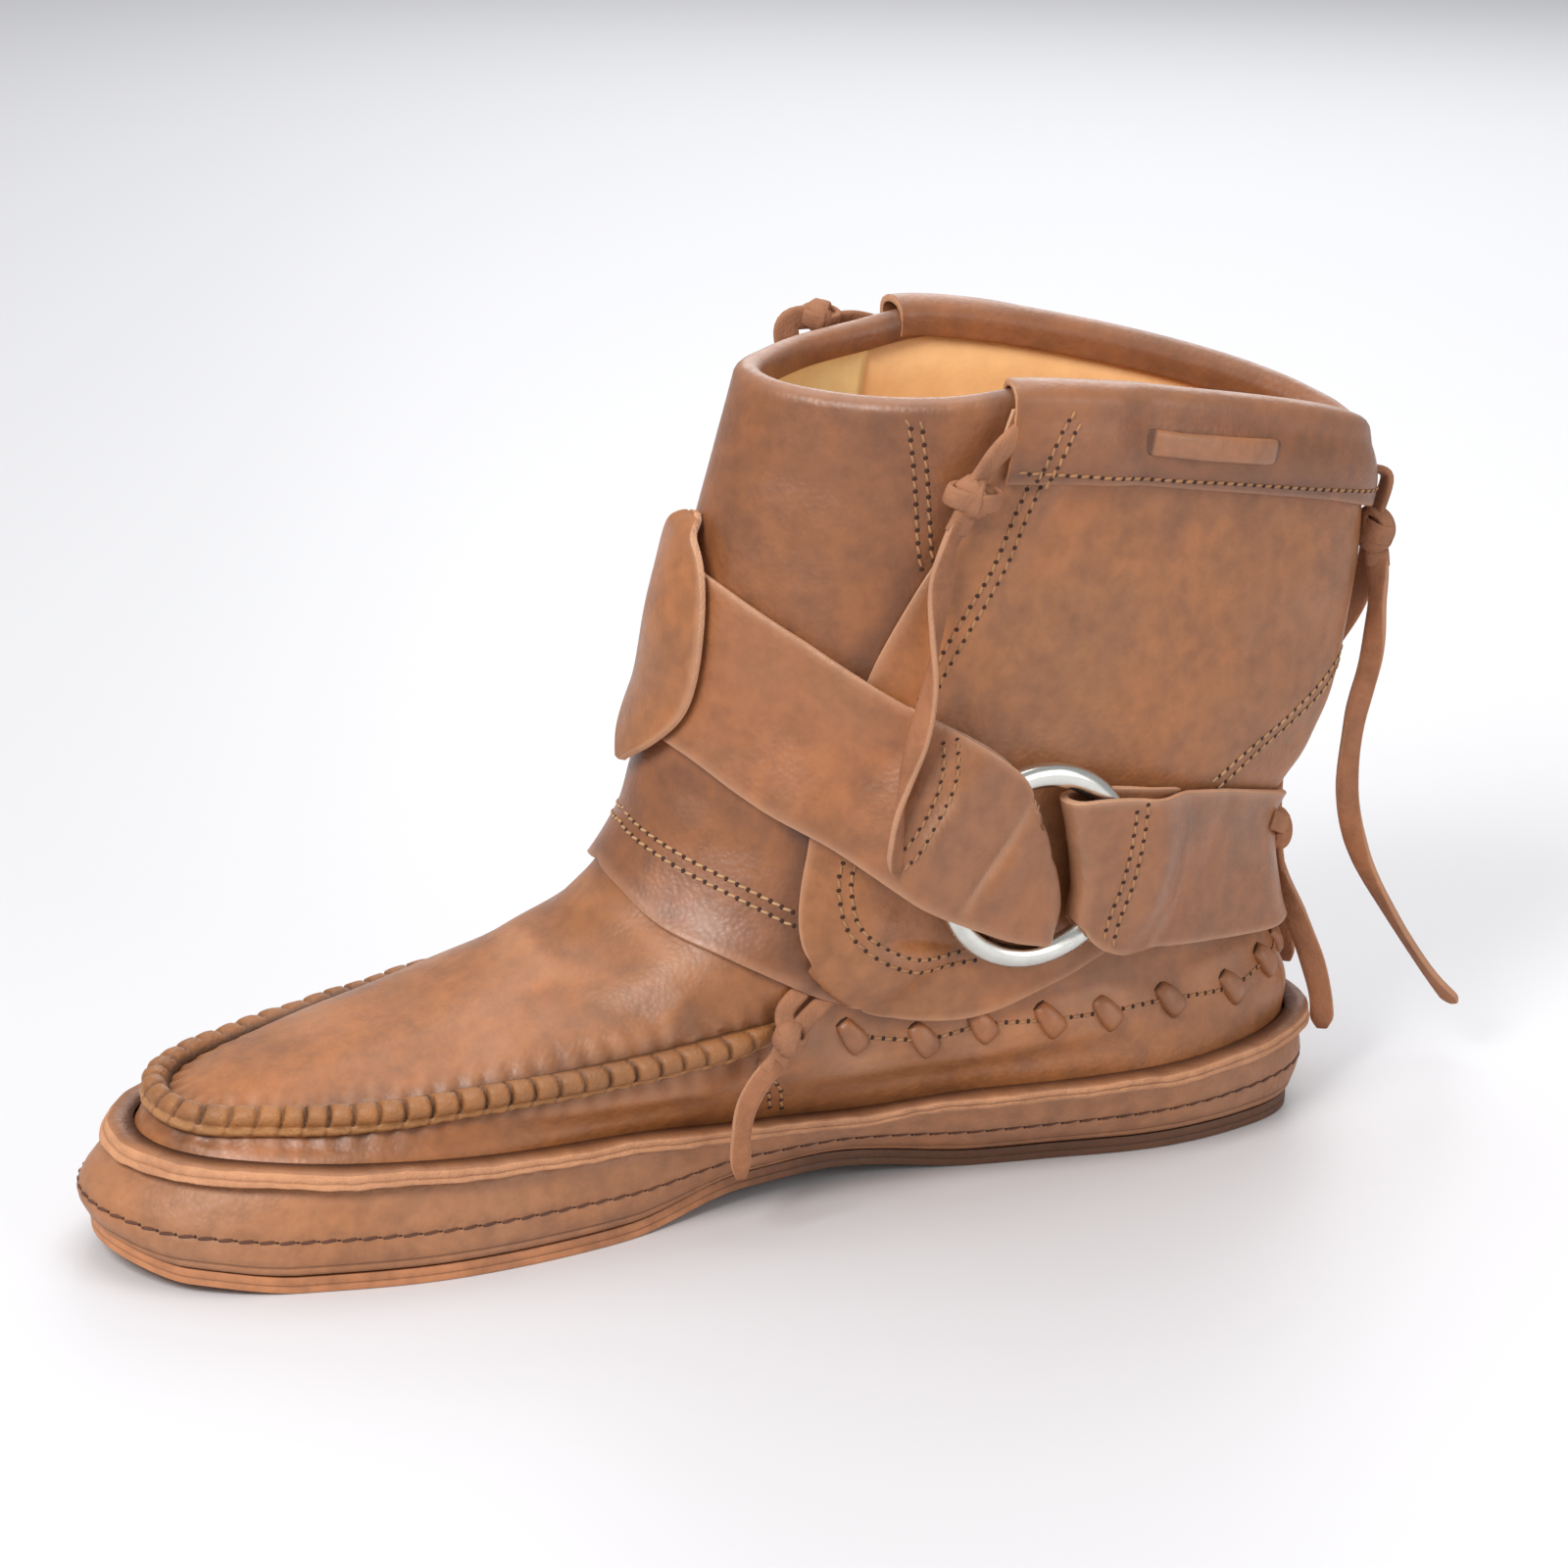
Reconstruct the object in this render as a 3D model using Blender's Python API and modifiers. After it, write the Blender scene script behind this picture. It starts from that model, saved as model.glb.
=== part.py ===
"""A leather moccasin ankle boot with a ring harness: right boot, toe along -Y, medial side at +X."""

import math

import bmesh
import bpy
from mathutils import Vector

MM = 0.001

# Driving sizes of the last, in metres.
SOLE_LENGTH = 0.270
BALL_BREADTH = 0.080
ANKLE_BREADTH = 0.072
INSTEP_HEIGHT = 0.076
SHAFT_RISE = 0.095
COLLAR_CROWN = 0.010
ARCH_RISE = 0.004
TOE_SPRING = 0.005

# Thicknesses and clearances.
CLEARANCE = 0.0003
UPPER_THICK = 0.0020
OUTSOLE_THICK = 0.0036
INSOLE_THICK = 0.0025
RAND_THICK = 0.0022
RIM_STAND = 0.0030
RIM_THICK = 0.0034
RIM_ROUND = 0.0006
SOLE_INSET = 0.0008
INSOLE_INSET = 0.0014
LEATHER = 0.0016
STRAP_THICK = 0.0018
SEAT = 0.0007
SEAM_WIDTH = 0.0055
SEAM_HEIGHT = 0.0044
CUFF_DEPTH = 0.0205
CUFF_INSIDE = 0.0080
CUFF_FOLD = 0.0018
CUFF_FLARE = 0.0040
RING_OUTER = 0.0450
RING_WIRE = 0.0045
LACE_WIDTH = 0.0080
LACE_THICK = 0.0020
LACE_TUBE = 0.0018

# The back of the collar overhangs the heel, so the origin lies midway between it and the toe.
ORIGIN_FROM_HEEL = 0.4756 * SOLE_LENGTH

AROUND_COUNT = 48

# The quarter covers the front panel by this share of the way around, and rises onto it over the other.
PANEL_UNDER = 0.022
PANEL_RAMP = 0.030
LAYER = LEATHER + SEAT

# The ring lies on the strap's inner layer, on the quarter.
RING_LIFT = 0.0012
RING_ALONG = 0.289 * SOLE_LENGTH
RING_HEIGHT = 0.950
RING_OUT = SEAT + LAYER + STRAP_THICK + RING_LIFT + RING_WIRE / 2
LOOP_HEIGHT = RING_WIRE / 2 + CLEARANCE + STRAP_THICK / 2
LOOP_SEATED = 0.0045
LOOP_FREED = 0.0130

# Plans of the last at equal steps from the middle of the back round to the middle of the front,
# as shares of BALL_BREADTH for the foot and of half of ANKLE_BREADTH for the shaft.
PLAN_COLUMNS = (
    "sole_medial", "sole_lateral", "rim_medial", "rim_lateral", "seam_medial", "seam_lateral", "shaft",
    "crown")
PLAN_ROWS = (
    (0.000, 0.000, 0.000, 0.000, 0.000, 0.000, 0.00, 0.00),
    (0.188, 0.181, 0.150, 0.150, 0.163, 0.163, 0.20, 0.20),
    (0.281, 0.275, 0.288, 0.281, 0.269, 0.269, 0.37, 0.45),
    (0.325, 0.325, 0.396, 0.388, 0.369, 0.369, 0.55, 0.68),
    (0.288, 0.331, 0.421, 0.406, 0.425, 0.425, 0.72, 0.86),
    (0.250, 0.344, 0.394, 0.412, 0.450, 0.450, 0.86, 0.97),
    (0.300, 0.388, 0.379, 0.425, 0.462, 0.450, 0.95, 1.00),
    (0.438, 0.456, 0.432, 0.450, 0.460, 0.431, 1.00, 0.85),
    (0.491, 0.450, 0.466, 0.438, 0.441, 0.388, 0.93, 0.45),
    (0.456, 0.375, 0.425, 0.369, 0.375, 0.319, 0.76, 0.20),
    (0.388, 0.262, 0.331, 0.256, 0.269, 0.225, 0.50, 0.05),
    (0.244, 0.119, 0.200, 0.125, 0.181, 0.125, 0.26, 0.00),
    (0.062, -0.062, 0.038, -0.038, 0.025, -0.025, 0.00, 0.00),
)

# Rings of the last from the feather edge up to the collar. Back and front are shares of SOLE_LENGTH.
# A height up to 1 is a share of INSTEP_HEIGHT above the outsole, and what is above 1 is a share of
# SHAFT_RISE. Plan 0 is the sole's, 1 the rim's, 2 the seam's and 3 the shaft's. Arch and spring say how
# much of the sole's own lift the ring follows, and crown how much of the collar's raised sides.
RING_COLUMNS = ("back", "back_height", "front", "front_height", "plan", "wide", "arch", "spring", "crown")
RING_ROWS = (
    (0.0130, 0.000, 0.998, 0.000, 0.00, 1.000, 1.0, 1.0, 0.0),
    (0.0030, 0.096, 1.002, 0.107, 0.50, 1.010, 0.5, 0.6, 0.0),
    (0.0065, 0.205, 0.969, 0.280, 1.00, 1.000, -0.5, 0.0, 0.0),
    (0.0050, 0.317, 0.960, 0.325, 1.60, 1.000, 0.0, 0.0, 0.0),
    (0.0165, 0.422, 0.944, 0.363, 2.00, 1.000, 0.0, 0.0, 0.0),
    (0.0280, 0.538, 0.889, 0.436, 2.15, 1.000, 0.0, 0.0, 0.0),
    (0.0335, 0.643, 0.804, 0.512, 2.30, 1.000, 0.0, 0.0, 0.0),
    (0.0370, 0.738, 0.726, 0.587, 2.45, 1.000, 0.0, 0.0, 0.0),
    (0.0370, 0.817, 0.659, 0.688, 2.60, 1.000, 0.0, 0.0, 0.0),
    (0.0315, 0.883, 0.604, 0.804, 2.75, 1.000, 0.0, 0.0, 0.0),
    (0.0150, 0.959, 0.566, 0.988, 2.90, 1.000, 0.0, 0.0, 0.0),
    (-0.0055, 1.048, 0.550, 1.127, 3.00, 1.000, 0.0, 0.0, 0.0),
    (-0.0205, 1.148, 0.531, 1.285, 3.00, 0.990, 0.0, 0.0, 0.0),
    (-0.0315, 1.296, 0.519, 1.464, 3.00, 0.970, 0.0, 0.0, 0.1),
    (-0.0405, 1.464, 0.500, 1.643, 3.00, 0.950, 0.0, 0.0, 0.4),
    (-0.0415, 1.622, 0.482, 1.812, 3.00, 0.940, 0.0, 0.0, 0.7),
    (-0.0360, 1.759, 0.466, 1.980, 3.00, 0.945, 0.0, 0.0, 1.0),
)
RIM_LEVEL = 2
COLLAR_LEVEL = len(RING_ROWS) - 1

# Lift of the sole's underside along its length, as shares of SOLE_LENGTH, ARCH_RISE and TOE_SPRING.
LIFT_COLUMNS = ("along", "arch", "spring")
LIFT_ROWS = (
    (0.00, 0.0, 0.0),
    (0.30, 0.0, 0.0),
    (0.44, 1.0, 0.0),
    (0.50, 0.9, 0.0),
    (0.61, 0.0, 0.0),
    (0.87, 0.0, 0.0),
    (0.95, 0.0, 0.4),
    (1.01, 0.0, 1.0),
)

# Raised seam round the plug, from its medial end to the toe: share of the way around, level.
SEAM_ROWS = (
    (0.268, 5.60), (0.281, 5.30), (0.304, 5.00), (0.343, 4.65), (0.372, 4.30), (0.405, 4.02),
    (0.455, 3.92), (0.5, 3.90))

# Levels of the front panel's lower edge, at equal steps from its side to the middle of the instep.
PANEL_EDGE = (6.20, 7.40, 8.25, 8.80, 9.25, 9.45)

# Front edge of the quarter, from the low point of its ear up to the collar.
QUARTER_FRONT = (
    (0.284, 7.15), (0.322, 8.35), (0.348, 9.50), (0.358, 10.55), (0.357, 11.70),
    (0.350, 12.80), (0.337, 13.80), (0.323, 14.60), (0.312, 15.35), (0.306, 16.00))

# Lower edge of the quarter, from the same point back to the middle of the heel.
QUARTER_FOOT = (
    (0.284, 7.15), (0.244, 5.72), (0.215, 5.00), (0.195, 4.88), (0.174, 5.40), (0.145, 6.20),
    (0.075, 6.40), (0.0, 6.40))

# Front strap from its fold in the ring to the middle of the front. Places are shares of SOLE_LENGTH from
# the heel, or of the way around where the strap turns over the front; heights are as in RING_ROWS.
FRONT_STRAP_COLUMNS = ("top_around", "top_height", "bottom_around", "bottom_height")
FRONT_STRAP_ROWS = (
    (0.2675, 1.122, 0.2150, 0.732),
    (0.277, 1.190, 0.236, 0.760),
    (0.295, 1.252, 0.266, 0.824),
    (0.323, 1.325, 0.300, 0.890),
    (0.350, 1.392, 0.335, 1.010),
    (0.391, 1.482, 0.385, 1.100),
    (0.445, 1.560, 0.440, 1.185),
    (0.500, 1.600, 0.500, 1.225),
)

# Heel strap from its fold in the ring to its free end at the back of the heel.
HEEL_STRAP_ROWS = (
    (0.241, 1.108, 0.193, 0.735),
    (0.226, 1.104, 0.180, 0.680),
    (0.206, 1.088, 0.160, 0.640),
    (0.176, 1.053, 0.135, 0.605),
    (0.138, 1.015, 0.104, 0.575),
    (0.095, 0.970, 0.070, 0.550),
    (0.055, 0.935, 0.045, 0.535),
    (0.028, 0.920, 0.026, 0.530),
)

# Keeper strip on the front: half its spread around and its height, from the pointed top down.
KEEPER_ROWS = (
    (0.010, 1.700), (0.052, 1.620), (0.056, 1.540), (0.056, 1.400), (0.056, 1.260), (0.050, 1.200),
    (0.012, 1.130))

# Ends of the lace that shows on each side of the cuff, as shares of the way around.
LACE_BAR = (0.237, 0.156)

# Routes of the hanging laces: distance from the heel, breadth and height, in millimetres.
LACE_ROUTES = {
    "back_lace_long": (
        (-16.6, 5, 122.7), (-17.2, 5, 114), (-16.3, 5, 99.5), (-12.8, 5, 84.5), (-11.8, 5, 68),
        (-15.5, 5, 53), (-23.6, 5, 38), (-33, 5, 23.5), (-40.5, 5, 14)),
    "back_lace_short": (
        (-16.6, 1, 122.4), (-16.6, -1.5, 114), (-14, -8, 101), (-8.5, -14.5, 88), (-5, -16.5, 75),
        (-3.5, -17, 62), (-4, -16.5, 50), (-6, -16, 38), (-8.5, -15.5, 28)),
    "front_lace_medial": (
        (94, 40.9, 152.1), (97, 40.8, 146), (98.8, 41.2, 136), (100.8, 43.8, 123.5), (103.8, 46.2, 112),
        (107.5, 47.2, 101), (109.6, 48, 92.5), (111, 49.6, 81)),
    "front_lace_lateral": (
        (101, -38.5, 165.7), (102, -38.4, 155), (103, -39.8, 140), (104, -43.2, 125), (105.5, -45.8, 112),
        (108, -47, 101), (110, -48, 92), (111, -49.6, 81)),
    "heel_lace_medial": (
        (3.8, 2, 54.2), (2.4, 3.2, 48), (-0.6, 4.6, 40), (-4.2, 6, 30), (-6.5, 6.5, 21), (-7.2, 6.5, 13)),
    "heel_lace_lateral": (
        (3.8, -2, 54.2), (2.8, -4, 48), (0.4, -6.5, 40), (-3.4, -9, 31), (-5.8, -10.5, 23)),
    "side_lace_medial": (
        (134.4, 43.9, 40.2), (138, 44.2, 36.6), (141.6, 44.8, 31), (143, 45.2, 24), (142.8, 44.6, 15)),
    "side_lace_lateral": (
        (134.4, -42.7, 40.2), (138, -43.2, 36.6), (141.6, -44, 31), (143, -44.4, 24), (142.8, -43.8, 15)),
}

# Knots: centre from the heel, and half of the length, breadth and height, in millimetres.
KNOTS = {
    "back_knot": ((-16.6, 3, 128), (3.5, 5.4, 5)),
    "front_knot_medial": ((91.5, 40.9, 157), (6.8, 2.9, 4)),
    "front_knot_lateral": ((95.3, -38.4, 172), (10.6, 2.9, 6)),
    "heel_knot": ((3.8, 0, 60), (3.2, 5.5, 5)),
    "side_knot_medial": ((131.8, 44.1, 44.8), (3.6, 2.9, 3.6)),
    "side_knot_lateral": ((131.8, -42.7, 44.8), (3.6, 2.9, 3.6)),
}
KNOT_PROFILE = ((-1.0, 0.75), (-0.5, 1.0), (0.5, 1.0), (1.0, 0.75))
KNOT_SIDES = 10
LACE_STEP = 0.008


def column(rows, columns, name):
    """The values of one named column of a table."""
    return [row[columns.index(name)] for row in rows]


def through(before, start, end, after, share):
    """Smooth curve from start to end, with its neighbours giving the slopes."""
    bend = 2 * before - 5 * start + 4 * end - after
    twist = 3 * start - before - 3 * end + after
    return 0.5 * (2 * start + (end - before) * share + bend * share**2 + twist * share**3)


def smooth(values, place):
    """Value at a place, counted in rows, of the smooth curve through equally spaced values."""
    last = len(values) - 1
    place = min(max(place, 0.0), last)
    index = min(int(place), last - 1)
    start, end = values[index], values[index + 1]
    before = values[index - 1] if index else 2 * start - end
    after = values[index + 2] if index + 2 <= last else 2 * end - start
    return through(before, start, end, after, place - index)


def smooth_loop(values, place):
    """The same on a closed loop of values."""
    count = len(values)
    index = int(math.floor(place)) % count
    near = [values[(index + step) % count] for step in (-1, 0, 1, 2)]
    return through(*near, place - math.floor(place))


def eased(values, keys, at):
    """Value between table rows, with a soft start and end in each step."""
    if at <= keys[0]:
        return values[0]
    for index in range(1, len(keys)):
        if at <= keys[index]:
            share = (at - keys[index - 1]) / (keys[index] - keys[index - 1])
            share = share * share * (3 - 2 * share)
            return values[index - 1] + share * (values[index] - values[index - 1])
    return values[-1]


def mix(start, end, share):
    return start + (end - start) * share


def signed_plan(medial, lateral):
    """One closed loop of breadths: the medial side from back to front, then the lateral side back."""
    return medial + [-value for value in reversed(lateral[1:-1])]


PLAN = {name: column(PLAN_ROWS, PLAN_COLUMNS, name) for name in PLAN_COLUMNS}
PLANS = (
    signed_plan(PLAN["sole_medial"], PLAN["sole_lateral"]),
    signed_plan(PLAN["rim_medial"], PLAN["rim_lateral"]),
    signed_plan(PLAN["seam_medial"], PLAN["seam_lateral"]),
    signed_plan(PLAN["shaft"], PLAN["shaft"]),
)
RINGS = {name: column(RING_ROWS, RING_COLUMNS, name) for name in RING_COLUMNS}
LIFTS = {name: column(LIFT_ROWS, LIFT_COLUMNS, name) for name in LIFT_COLUMNS}
CROWN_LOOP = PLAN["crown"] + PLAN["crown"][-2:0:-1]
FEATHER_HEIGHT = OUTSOLE_THICK + CLEARANCE


def height_of(share):
    """Height above the floor for a share of the instep's height and, past 1, of the shaft's rise."""
    return FEATHER_HEIGHT + min(share, 1.0) * INSTEP_HEIGHT + max(share - 1.0, 0.0) * SHAFT_RISE


def plan_breadth(kind, around):
    """Signed distance from the boot's middle line, for plan 0 to 3 and a share of the way around."""
    unit = BALL_BREADTH if kind < 3 else ANKLE_BREADTH / 2
    return unit * smooth_loop(PLANS[kind], around * len(PLANS[kind]))


def sole_lift(along, arch=1.0, spring=1.0):
    """How far the underside lies above the floor at a distance from the heel."""
    share = along / SOLE_LENGTH
    rise = arch * ARCH_RISE * eased(LIFTS["arch"], LIFTS["along"], share)
    return rise + spring * TOE_SPRING * eased(LIFTS["spring"], LIFTS["along"], share)


def last_place(around, level):
    """Distance from the heel, breadth and height of the last's surface."""
    forward = (1 - math.cos(2 * math.pi * around)) / 2
    back = smooth(RINGS["back"], level)
    front = smooth(RINGS["front"], level)
    along = SOLE_LENGTH * mix(back, front, forward)
    plan = min(max(smooth(RINGS["plan"], level), 0.0), 3.0)
    lower = min(int(plan), 2)
    breadth = mix(plan_breadth(lower, around), plan_breadth(lower + 1, around), plan - lower)
    breadth *= smooth(RINGS["wide"], level)
    back_height = height_of(smooth(RINGS["back_height"], level))
    front_height = height_of(smooth(RINGS["front_height"], level))
    height = mix(back_height, front_height, forward)
    height += sole_lift(along, smooth(RINGS["arch"], level), smooth(RINGS["spring"], level))
    crown = smooth(RINGS["crown"], level) * smooth_loop(CROWN_LOOP, around * len(CROWN_LOOP))
    height += COLLAR_CROWN * crown
    return along, breadth, height


def to_world(along, breadth, height):
    return Vector((breadth, ORIGIN_FROM_HEEL - along, height))


def last_point(around, level, out=0.0):
    """Point of the last's surface, moved outwards along its normal."""
    point = to_world(*last_place(around, level))
    if not out:
        return point
    return point + out * last_normal(around, level)


def last_normal(around, level):
    step = 0.004
    low, high = max(level - 10 * step, 0.0), min(level + 10 * step, COLLAR_LEVEL)
    rise = to_world(*last_place(around, high)) - to_world(*last_place(around, low))
    run = to_world(*last_place(around + step, level)) - to_world(*last_place(around - step, level))
    return rise.cross(run).normalized()


def level_at(around, height):
    """Level of the last's surface at a height, for a share of the way around."""
    low, high = 0.0, float(COLLAR_LEVEL)
    for _ in range(30):
        middle = (low + high) / 2
        if last_place(around, middle)[2] < height:
            low = middle
        else:
            high = middle
    return (low + high) / 2


def place_at(along, height, side=1):
    """Share of the way around and level for a point seen from the side: 1 medial, -1 lateral."""
    low, high = 0.0, float(COLLAR_LEVEL)
    around = 0.25
    for _ in range(30):
        level = (low + high) / 2
        back = SOLE_LENGTH * smooth(RINGS["back"], level)
        front = SOLE_LENGTH * smooth(RINGS["front"], level)
        forward = min(max((along - back) / (front - back), 0.0), 1.0)
        around = math.acos(1 - 2 * forward) / (2 * math.pi)
        if side < 0:
            around = 1 - around
        if last_place(around, level)[2] < height:
            low = level
        else:
            high = level
    return around, level


def height_level(around, height_share):
    """Share of the way around and level for a height given as a share, as in the tables."""
    return level_at(around, height_of(height_share))


def side_point(around, height, out):
    """Point beside the last at a height, moved out level with the floor."""
    level = level_at(around, height)
    normal = last_normal(around, level)
    flat = Vector((normal.x, normal.y, 0.0)).normalized()
    point = last_point(around, level) + out * flat
    point.z = height
    return point


def along_rows(rows, share, index):
    """Value in one place of a short table of rows, at a share of the way through it."""
    return smooth([row[index] for row in rows], share * (len(rows) - 1))


def mirrored(around, side):
    return around if side > 0 else 1 - around


def shares(count):
    return [index / (count - 1) for index in range(count)]


def material(name, colour, roughness, metallic=0.0):
    """A Principled material, made once for each finish."""
    if name in bpy.data.materials:
        return bpy.data.materials[name]
    made = bpy.data.materials.new(name)
    made.use_nodes = True
    shader = made.node_tree.nodes["Principled BSDF"]
    shader.inputs["Base Color"].default_value = (*colour, 1.0)
    shader.inputs["Roughness"].default_value = roughness
    shader.inputs["Metallic"].default_value = metallic
    return made


def tan_leather():
    return material("tan_leather", (0.36, 0.17, 0.09), 0.5)


def raw_leather():
    return material("raw_leather", (0.62, 0.38, 0.26), 0.8)


def sole_leather():
    return material("sole_leather", (0.60, 0.28, 0.13), 0.6)


def nickel():
    return material("nickel", (0.75, 0.74, 0.71), 0.3, 1.0)


def seam_cord():
    return material("seam_cord", (0.36, 0.20, 0.07), 0.6)


def place(name, points, faces, finish):
    """One object with these faces, in the collection of the boot."""
    mesh = bpy.data.meshes.new(name)
    mesh.from_pydata([tuple(point) for point in points], [], faces)
    mesh.materials.append(finish)
    mesh.shade_smooth()
    mesh.set_sharp_from_angle(angle=math.radians(40))
    made = bpy.data.objects.new(name, mesh)
    bpy.data.collections["leather_boot"].objects.link(made)
    return made


def grid_faces(rows, columns, loop_rows=False, loop_columns=False):
    """Quads of a grid of points, a row after another, facing out of the last."""
    faces = []
    for row in range(rows if loop_rows else rows - 1):
        for index in range(columns if loop_columns else columns - 1):
            here = row * columns + index
            beside = row * columns + (index + 1) % columns
            above = ((row + 1) % rows) * columns
            faces.append((here, above + index, above + (index + 1) % columns, beside))
    return faces


def sheet(name, rows, thick, finish, closed=False, offset=1.0):
    """A leather sheet through rows of points, thickened outwards (1), inwards (-1) or both ways (0)."""
    points = [point for row in rows for point in row]
    made = place(name, points, grid_faces(len(rows), len(rows[0]), loop_columns=closed), finish)
    solid = made.modifiers.new("thickness", "SOLIDIFY")
    solid.thickness = thick
    solid.offset = offset
    solid.use_even_offset = True
    return made


def sweep(name, sections, finish, closed=False):
    """A solid through closed sections, each a loop of points; open ends are capped."""
    count = len(sections[0])
    points = [point for section in sections for point in section]
    faces = grid_faces(len(sections), count, loop_rows=closed, loop_columns=True)
    if not closed:
        faces.append(tuple(range(count)))
        faces.append(tuple(reversed(range(len(points) - count, len(points)))))
    return face_out(place(name, points, faces, finish))


def face_out(made):
    """Turns the faces of a closed mesh outwards."""
    work = bmesh.new()
    work.from_mesh(made.data)
    bmesh.ops.recalc_face_normals(work, faces=work.faces)
    work.to_mesh(made.data)
    work.free()
    return made


def all_around(count=AROUND_COUNT):
    return [index / count for index in range(count)]


def sole_slab(name, outset, low, high, finish):
    """A flat slab with the outline of the feather edge, moved out or in, that follows the sole's lift."""
    rings = []
    for height in (low, high):
        ring = []
        for around in all_around():
            along, _, feather = last_place(around, 0)
            point = side_point(around, feather, outset)
            point.z = height + sole_lift(along)
            ring.append(point)
        rings.append(ring)
    points = rings[0] + rings[1]
    faces = grid_faces(2, AROUND_COUNT, loop_columns=True)
    for index in range(AROUND_COUNT // 2):
        lateral = (AROUND_COUNT - index) % AROUND_COUNT
        bottom = [index, index + 1, AROUND_COUNT - index - 1, lateral]
        bottom = list(dict.fromkeys(bottom))
        faces.append(tuple(bottom))
        faces.append(tuple(AROUND_COUNT + corner for corner in reversed(bottom)))
    return face_out(place(name, points, faces, finish))


def make_outsole():
    sole_slab("outsole", RAND_THICK + SEAT - SOLE_INSET, 0.0, OUTSOLE_THICK, sole_leather())


def make_insole():
    seated = OUTSOLE_THICK + CLEARANCE
    sole_slab("insole", -UPPER_THICK - INSOLE_INSET, seated, seated + INSOLE_THICK, raw_leather())


def make_upper():
    """The whole hollow upper, from the feather edge to the collar."""
    levels = (0, 1, 2, 2.5, 3, 4, 5, 6, 7, 8, 8.7, 9.4, 10.2, 11, 12, 13.3, 14.7, COLLAR_LEVEL)
    rows = [[last_point(around, level) for around in all_around()] for level in levels]
    sheet("upper", rows, UPPER_THICK, tan_leather(), closed=True, offset=-1.0)


def rim_height(around):
    return last_place(around, RIM_LEVEL)[2]


def make_rand():
    """Leather cup from the outsole up to the rim."""
    sections = []
    for around in all_around():
        foot, belly = [last_place(around, level)[2] for level in (0, 1)]
        top = rim_height(around) - RIM_THICK / 2 - CLEARANCE
        heights = (foot, belly, top)
        inner = [side_point(around, height, SEAT) for height in heights]
        outer = [side_point(around, height, SEAT + RAND_THICK) for height in reversed(heights)]
        sections.append(inner + outer)
    sweep("rand", sections, tan_leather(), closed=True)


def make_rim():
    """Raw double edge of leather that stands out between the rand and the wall."""
    reach = SEAT + RAND_THICK + RIM_STAND
    sections = []
    for around in all_around():
        middle = rim_height(around)
        low = middle - RIM_THICK / 2
        high = middle + RIM_THICK / 2
        edge = reach - RIM_ROUND
        corners = ((SEAT, low), (edge, low), (reach, middle), (edge, high), (SEAT, high))
        sections.append([side_point(around, height, out) for out, height in corners])
    sweep("rim", sections, raw_leather(), closed=True)


def seam_place(share):
    """Place on the raised seam, from the medial end (0) round the toe to the lateral end (1)."""
    half = 2 * share if share <= 0.5 else 2 - 2 * share
    around = along_rows(SEAM_ROWS, half, 0)
    return mirrored(around, 1 if share <= 0.5 else -1), along_rows(SEAM_ROWS, half, 1)


def make_toe_seam():
    """Puckered seam that joins plug and wall, standing up on the last."""
    profile = ((-0.5, 0.0), (-0.45, 0.65), (0.0, 1.0), (0.45, 0.65), (0.5, 0.0))
    sections = []
    for share in shares(43):
        around, level = seam_place(share)
        normal = last_normal(around, level)
        before = last_point(*seam_place(max(share - 0.01, 0.0)))
        after = last_point(*seam_place(min(share + 0.01, 1.0)))
        across = normal.cross(after - before).normalized()
        base = last_point(around, level, SEAT)
        section = [base + across * SEAM_WIDTH * x + normal * (SEAM_HEIGHT - SEAT) * y for x, y in profile]
        sections.append(section)
    sweep("toe_seam", sections, seam_cord())


def both_ways(count):
    """Shares from the medial edge (-1) round to the lateral edge (1)."""
    return [2 * share - 1 for share in shares(count)]


def edge_at(level):
    """Share of the way around where the quarter's front edge lies at a level."""
    levels = [row[1] for row in QUARTER_FRONT]
    arounds = [row[0] for row in QUARTER_FRONT]
    return eased(arounds, levels, level)


def ramp(value, start, width):
    """0 before start, 1 after start plus width, and a straight line between them."""
    return min(max((value - start) / width, 0.0), 1.0)


def panel_side(level):
    """Share of the way around where the front panel's hidden side edge lies."""
    return edge_at(level) - PANEL_UNDER


def over_panel(around, level):
    """How far the quarter has risen onto the front panel, from 0 to 1."""
    from_back = min(around, 1 - around)
    return ramp(from_back, panel_side(level) - PANEL_RAMP, PANEL_RAMP * 0.5)


def quarter_out(around, level):
    return SEAT + LAYER * over_panel(around, level)


def strap_out(around, level):
    """Offset of what lies on the quarter, or on the bare front panel before it."""
    past_edge = ramp(min(around, 1 - around), edge_at(level) + 0.004, PANEL_RAMP)
    return SEAT + LAYER + LAYER * over_panel(around, level) * (1 - past_edge)


def make_front_panel():
    """Front of the shaft, from its edge on the instep up to the collar."""
    rows = []
    for rise in shares(10):
        side = panel_side(mix(PANEL_EDGE[0], COLLAR_LEVEL, rise))
        row = []
        for turn in both_ways(23):
            around = mix(0.5, side, abs(turn))
            level = mix(smooth(PANEL_EDGE, (1 - abs(turn)) * (len(PANEL_EDGE) - 1)), COLLAR_LEVEL, rise)
            row.append(last_point(mirrored(around, -turn), level, SEAT))
        rows.append(row)
    sheet("front_panel", rows, LEATHER, tan_leather())


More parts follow.
